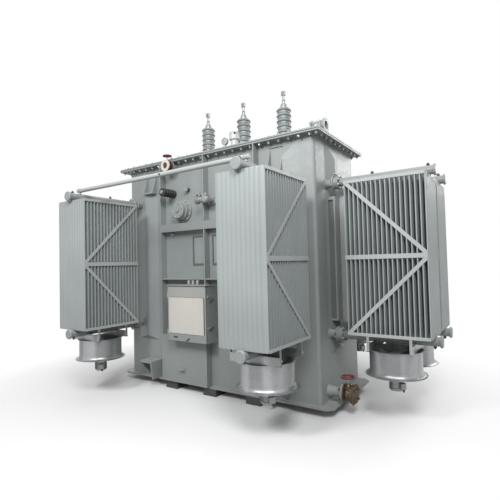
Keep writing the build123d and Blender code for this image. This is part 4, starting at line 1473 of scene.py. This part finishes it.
@dataclass
class OilValve:
    """A flanged globe valve on a wall stub, with its handwheel on its own body.

    The profiles are those of a valve of scale 1.
    """

    name: str
    seat: Place
    outward: Vector
    stub: float
    size: float
    blind: bool

    def profile(self, *numbers: float) -> list[Point]:
        """A profile in millimetres at the valve's own scale."""
        return mm(*numbers, scale=self.size)

    def build(self) -> None:
        """Makes the valve, its bolts and its handwheel."""
        run, size, name, first = axis_frame(self.seat, self.outward), self.size, self.name, self.stub
        depth, flange, pipe, bore = 0.018 * size, 0.075 * size, 0.038 * size, 0.04 * size
        low = first + depth
        high = low + 0.062 * size
        end, middle = high + depth, (low + high) / 2
        Shape().turned(run, [
            (0, 0), (pipe * 1.35, 0), (pipe * 1.3, 0.012), (pipe, first * 0.5), (pipe, first),
            (flange - LIP, first), (flange, first + LIP), (flange, low - 0.001), (0, low - 0.001),
        ], 48).piece(f"{name}_stub", Finish.GREY)
        mouth, start = [(0, high), (flange, high), (flange, end), (0, end)], high + 0.0005
        if not self.blind:
            mouth = [(bore, start), (flange - LIP, start), (flange, start + LIP), (flange, end - LIP)]
            mouth += [(flange - LIP, end), (bore + LIP, end), (bore, end - LIP)]
        mouth_finish = Finish.BRONZE if self.blind else Finish.CREAM
        Shape().turned(run, mouth, 48, not self.blind).piece(f"{name}_mouth_flange", mouth_finish)
        metal, nuts, wide = Shape(), Shape(), 0.054 * size
        metal.turned(run, [
            (0, low), (flange * 0.97, low), (flange * 0.97, low + depth * 0.4),
            (0.045 * size, low + depth * 0.7), (wide, middle - 0.008 * size), (wide, middle + 0.008 * size),
            (0.045 * size, high - depth * 0.2), (0.05 * size, high), (0, high),
        ], 48)
        centre = Vector(self.seat) + self.outward * middle
        up = Matrix.Translation(centre)
        metal.turned(up, self.profile(0, 0, 34, 0, 30, 44, 44, 46, 44, 56, 26, 58, 20, 72, 16, 78, 0, 78), 36)
        metal.piece(f"{name}_body", Finish.BRONZE, "oil_valves")
        seats = [(first, -1), (high, -1)]
        if self.blind:
            seats.append((end + 0.012 * size, 1))
        for distance, way in seats:
            seat = axis_frame(Vector(self.seat) + self.outward * distance, self.outward * way)
            bolt_circle(nuts, seat, 0.055 * size, 4, 0.013 * size, pi / 4)
        bolt_circle(nuts, up @ at(z=0.056 * size), 0.036 * size, 4, 0.007 * size)
        nuts.piece(f"{name}_bolts", Finish.BRONZE if self.blind else Finish.NUT)
        if self.blind:
            outline = self.profile(72, 50, 50, 72, -50, 72, -72, 50, -72, -50, -50, -72, 50, -72, 72, -50)
            plate = Shape().prism(run @ at(z=end), outline, 0.012 * size, 0.002)
            plate.piece(f"{name}_blind_flange", Finish.BRONZE)
        self.handwheel(Matrix.Translation(centre + UP * (0.078 * size + 0.0003)))

    def handwheel(self, stand: Matrix) -> None:
        """A cast wheel with a round rim and tapered spokes, on its stem.

        Args:
            stand: The frame of the stem's lower end.
        """
        size, body = self.size, f"{self.name}_handwheel"
        level, rim, radius = 0.055 * size, 0.0085 * size, 0.0515 * size
        ring = [(radius + rim * cos(turn), level + rim * sin(turn)) for turn in circle(12)]
        wheel = Shape().turned(stand, ring, 48, True)
        wheel.turned(stand, self.profile(17, 48, 17, 58, 14, 61, 10.5, 61.5, 10.5, 48), 30, True)
        path = [(0.013 * size, 0, -0.002 * size), (0.032 * size, 0, 0.0015 * size), (radius, 0, 0)]
        spoke = Shape().bar(path, 0.0042 * size, 10).data("wheel_spoke")
        spokes = repeated(spoke, Layout.RING, Finish.RED, Count=5, Radius=0.0, Turn=tau / 5)
        wheel.place(spokes, stand @ at(z=level)).piece(f"{self.name}_wheel_rim", Finish.RED, body, body=body)
        stem = Shape().turned(stand, self.profile(0, 0, 8, 0, 8, 50, 11, 51, 11, 60.5, 9, 62, 0, 62), 24)
        stem.turned(stand @ at(z=0.06 * size), self.profile(9.5, 0, 9.5, 1.8, 0, 1.8, 0, 0), 6)
        stem.piece(f"{self.name}_wheel_stem", Finish.STEEL, body=body)


@dataclass
class Cabinet:
    """The control cabinet's door with its plate, strip, seams, latches and screws, and the lid's glands."""

    body: str = "cabinet_door"
    left: float = -0.485
    right: float = 0.135
    low: float = 0.671
    high: float = 1.355
    front: float = -0.83
    gap: float = 0.005
    tray: float = 0.023
    plate: tuple[float, float, float, float] = (-0.463, 0.101, 0.77, 1.213)
    hinge: Point = (-0.495, -0.8185)
    hinges: tuple[float, ...] = (0.75308, 1.2182)
    hinge_length: float = 0.05
    pin_gap: float = 0.0051
    knuckle: float = 0.009
    latches: tuple[Place, ...] = ((-0.353, 0.728, 0.0), (-0.149, 0.704, -0.6))
    side_latches: tuple[float, ...] = (0.846, 1.176)
    side_latch_y: float = -0.743
    side_wall: float = 0.148
    side_slant: float = radians(26)
    screw_pitch: float = 0.13
    glands: tuple[float, ...] = (-0.2, -0.13, -0.06)
    gland_y: float = -0.742
    lid: float = 1.363

    def build(self) -> None:
        """Makes the door and the fittings on the cabinet."""
        self.door()
        self.fastenings()
        glands = Shape()
        for x in self.glands:
            stand = at(x, self.gland_y, self.lid)
            glands.turned(stand, mm(22.5, 0, 22.5, 16, 21, 18, 0, 18), 6)
            glands.turned(stand, mm(20.5, 16, 20.5, 40, 19.5, 50, 14, 57.5, 0, 57.5), 28)
        glands.piece("cabinet_glands", Finish.NUT)

    def door(self) -> None:
        """The beige tray door with its hinge knuckles, cream plate, dark seams and grey strip."""
        left, right = self.left + self.gap, self.right - self.gap
        low, high = self.low + self.gap, self.high - self.gap
        plate_left, plate_right, plate_low, plate_high = self.plate
        face, (x, y) = self.front, self.hinge
        inner, outer, length = self.pin_gap, self.knuckle, self.hinge_length
        tray = Shape().block((left, face, low), (right, face + self.tray, high), 0.003)
        for start in self.hinges:
            ring = [(inner, 0), (outer, 0), (outer, length), (inner, length)]
            tray.turned(at(x, y, start), ring, 20, True)
            tray.block((x + 0.006, y - 0.002, start), (left + 0.002, y + 0.002, start + length), 0)
        tray.piece("door_tray", Finish.BEIGE, "cabinet_door", body=self.body)
        inset = 0.003
        strip = (left + inset, right - inset, low + inset, plate_low - 2 * inset)
        for name, finish, proud, chamfer, boxes in (
            ("door_plate", Finish.CREAM, 0.004, CHAMFER, [self.plate]),
            ("door_seams", Finish.GASKET, 0.0006, 0, [
                (plate_right + 0.002, plate_right + 0.015, plate_low, plate_high),
                (plate_left, plate_right, plate_high + 0.0005, plate_high + 0.0045),
                (plate_left, plate_right, plate_low - 0.0045, plate_low - 0.0005),
            ]),
            ("door_strip", Finish.GREY, 0.001, 0, [strip]),
        ):
            shape = Shape()
            for x_low, x_high, z_low, z_high in boxes:
                shape.block((x_low, face - proud, z_low), (x_high, face + 0.001, z_high), chamfer)
            shape.piece(name, finish, body=self.body)

    def fastenings(self) -> None:
        """The dark latches on the door and on the cabinet's side, and the plate's screws."""
        door, side, heads = Shape(), Shape(), Shape()
        for x, height, turn in self.latches:
            seat = at(x, self.front, height) @ turned_by(turn, "Y")
            door.block((-0.03, -0.012, -0.007), (0.03, 0, 0.007), 0.002, seat)
        for height in self.side_latches:
            seat = at(self.side_wall, self.side_latch_y, height) @ turned_by(self.side_slant, "X")
            side.block((0, -0.045, -0.006), (0.009, 0.045, 0.006), 0.002, seat)
        step = (self.screw_pitch, 0, 0)
        screws = repeated(nut(0.005, 1.05), Layout.LINE, Finish.NUT, Count=5, Step=step, Twist=tau, Seed=5)
        left, _, low, high = self.plate
        for height in (low + 0.014, high - 0.014):
            heads.place(screws, at(left + 0.022, self.front - 0.004, height) @ turned_by(pi / 2, "X"))
        door.piece("door_latches", Finish.GASKET, body=self.body)
        heads.piece("door_screws", Finish.NUT, body=self.body)
        side.piece("cabinet_latches", Finish.GASKET)


@dataclass
class TieBars:
    """The round tie bars over the front and back radiators, on their short posts."""

    radius: float = 0.024
    end: float = 0.006
    height: float = 2.5523
    reach: float = 1.28
    y: float = 1.54
    post_x: float = 1.24
    post_low: float = 2.512
    strap: float = 0.04
    hole_x: float = 0.17

    def build(self) -> None:
        """Makes both bars with their broken ends, and their clamps on the posts."""
        bars, clamps, holes = Shape(), Shape(), Shape()
        length, wide, narrow = 2 * self.reach, self.radius, self.radius - self.end
        tube = [(0, 0), (narrow, 0), (wide, self.end), (wide, length - self.end)]
        tube += [(narrow, length), (0, length)]
        inner, outer = wide - 0.001, wide + 0.004
        for side in (-1, 1):
            y = side * self.y
            bars.turned(axis_frame((-self.reach, y, self.height), RIGHT), tube, 28)
            for x in (-self.post_x, self.post_x):
                bars.turned(at(x, y, self.post_low), mm(22, 0, 14, 6, 14, 18, 0, 18), 20)
                strap = [(inner, 0), (outer, 0), (outer, self.strap), (inner, self.strap)]
                clamps.turned(axis_frame((x - self.strap / 2, y, self.height), RIGHT), strap, 28, True)
            # A black disc on each bar stands for its hole: painted shade of the hole.
            foot = (self.hole_x, side * (self.y + wide - 0.003), self.height)
            holes.turned(axis_frame(foot, Vector((0, side, 0))), mm(11, 0, 11, 4.5, 0, 4.5), 16)
        bars.piece("tie_bar_tubes", Finish.BRACE, "tie_bars")
        clamps.piece("tie_bar_clamps", Finish.NUT)
        holes.piece("tie_bar_hole_shade", Finish.BLACK)


# Stage


@dataclass
class Stage:
    """The pale floor, the soft light and the camera."""

    floor_radius: float = 9.0
    floor_colour: Colour = (0.9, 0.9, 0.9)
    floor_bounce: Colour = (0.36, 0.36, 0.36)
    floor_fade: Point = (1.9, 3.8)
    sky: float = 0.45
    lamps: tuple[tuple[str, Place, Place, float, float], ...] = (
        ("key_light", (4.4, -5.4, 6.2), (0.3, -0.4, 2.4), 350.0, 2.6),
        ("front_light", (0.5, -5.8, 4.9), (0.6, -0.6, 2.2), 200.0, 1.5),
        ("back_light", (3.6, 5.2, 4.6), (1.4, 0, 2.2), 150.0, 3.2),
    )
    lens: float = 28.9
    sensor: float = 36
    azimuth: float = 33.86
    pitch: float = 2.0
    roll: float = -1.39
    eye: Place = (3.219, -4.462, 1.603)

    def build(self) -> None:
        """Makes the floor, the world, the lamps and the camera."""
        self.floor()
        self.world()
        for lamp in self.lamps:
            self.lamp(*lamp)
        self.camera()

    def floor(self) -> None:
        """A round pale floor that fades into the white background."""
        graph = MaterialGraph("pale_floor")
        tone = graph.tones(self.floor_colour, 0.8, 3, 0.985)
        base = graph.mix(graph.background_rays(), self.floor_bounce, tone)
        reach = graph.add("ShaderNodeVectorMath", {0: graph.place}, operation="LENGTH").outputs["Value"]
        clear = graph.add("ShaderNodeBsdfTransparent").outputs[0]
        sides = {0: graph.spread(reach, 0, 1, *self.floor_fade), 1: graph.shader.outputs[0], 2: clear}
        seen = graph.add("ShaderNodeMixShader", sides).outputs[0]
        graph.links.new(seen, graph.nodes["Material Output"].inputs["Surface"])
        disc, mesh = bmesh.new(), bpy.data.meshes.new("floor")
        bmesh.ops.create_circle(disc, cap_ends=True, segments=96, radius=self.floor_radius)
        disc.to_mesh(mesh)
        disc.free()
        mesh.materials.append(graph.finished({"Base Color": base}, Roughness=0.9, Specular_IOR_Level=0.1))
        floor = bpy.data.objects.new("floor", mesh)
        bpy.context.scene.collection.objects.link(floor)

    def world(self) -> None:
        """An even sky that the camera and the reflections see as white."""
        world = bpy.data.worlds.new("studio")
        world.use_nodes = True
        world.node_tree.nodes.clear()
        graph = Graph(world.node_tree)
        white = (1, 1, 1, 1)
        sky, seen = (
            graph.add("ShaderNodeBackground", {"Color": white, "Strength": strength}).outputs[0]
            for strength in (self.sky, 1)
        )
        mixed = graph.add("ShaderNodeMixShader", {0: graph.background_rays(), 1: sky, 2: seen}).outputs[0]
        graph.add("ShaderNodeOutputWorld", {"Surface": mixed})
        bpy.context.scene.world = world

    def lamp(self, name: str, place: Place, aim: Place, power: float, size: float) -> None:
        """A soft round lamp.

        Args:
            name: The lamp's name.
            place: Where it hangs.
            aim: The point that it faces.
            power: Its power in watts.
            size: Its diameter in metres.
        """
        data = bpy.data.lights.new(name, "AREA")
        data.shape, data.energy, data.size = "DISK", power, size
        lamp = bpy.data.objects.new(name, data)
        lamp.location = place
        lamp.rotation_mode = "QUATERNION"
        lamp.rotation_quaternion = (Vector(aim) - Vector(place)).to_track_quat("-Z", "Y")
        bpy.context.scene.collection.objects.link(lamp)

    def camera(self) -> None:
        """The camera at the photograph's place, with its slight roll."""
        yaw, pitch, roll = (radians(angle) for angle in (self.azimuth, self.pitch, self.roll))
        ahead = Vector((-sin(yaw) * cos(pitch), cos(yaw) * cos(pitch), sin(pitch)))
        across = Vector((cos(yaw), sin(yaw), 0))
        upright = across.cross(ahead)
        side = across * cos(roll) + upright * sin(roll)
        top = upright * cos(roll) - across * sin(roll)
        data = bpy.data.cameras.new("camera")
        data.sensor_width, data.lens = self.sensor, self.lens
        data.clip_start, data.clip_end = 0.05, 200
        camera = bpy.data.objects.new("camera", data)
        camera.matrix_world = Matrix.Translation(self.eye) @ Matrix((side, top, -ahead)).transposed().to_4x4()
        bpy.context.scene.collection.objects.link(camera)
        bpy.context.scene.camera = camera


def main() -> None:
    """Builds the looks in order."""
    logging.basicConfig(level=logging.INFO, format="%(name)s: %(message)s")
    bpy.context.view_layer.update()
    bpy.context.scene.view_settings.view_transform = "Standard"
    Stage().build()
    Casework().build()
    for group, outward, seats in (
        ("front", FRONT, ((-1.24, -0.58), (1.24, -0.58))),
        ("back", BACK, ((-1.24, 0.58), (1.24, 0.58))),
        ("end", RIGHT, ((1.4585, -0.296), (1.4585, 0.296))),
    ):
        Radiator(group, outward, seats).build()
        Fans(group, outward, seats).build()
    Bushings().build()
    CoverFittings().build()
    WallFittings().build()
    OilValve("filter", (-0.548, -0.58, 2.905), FRONT, 0.104, 1.0, False).build()
    OilValve("drain", (1.4585, -0.37, 0.22), RIGHT, 0.15, 1.3, True).build()
    Cabinet().build()
    TieBars().build()


if __name__ == "__main__":
    main()
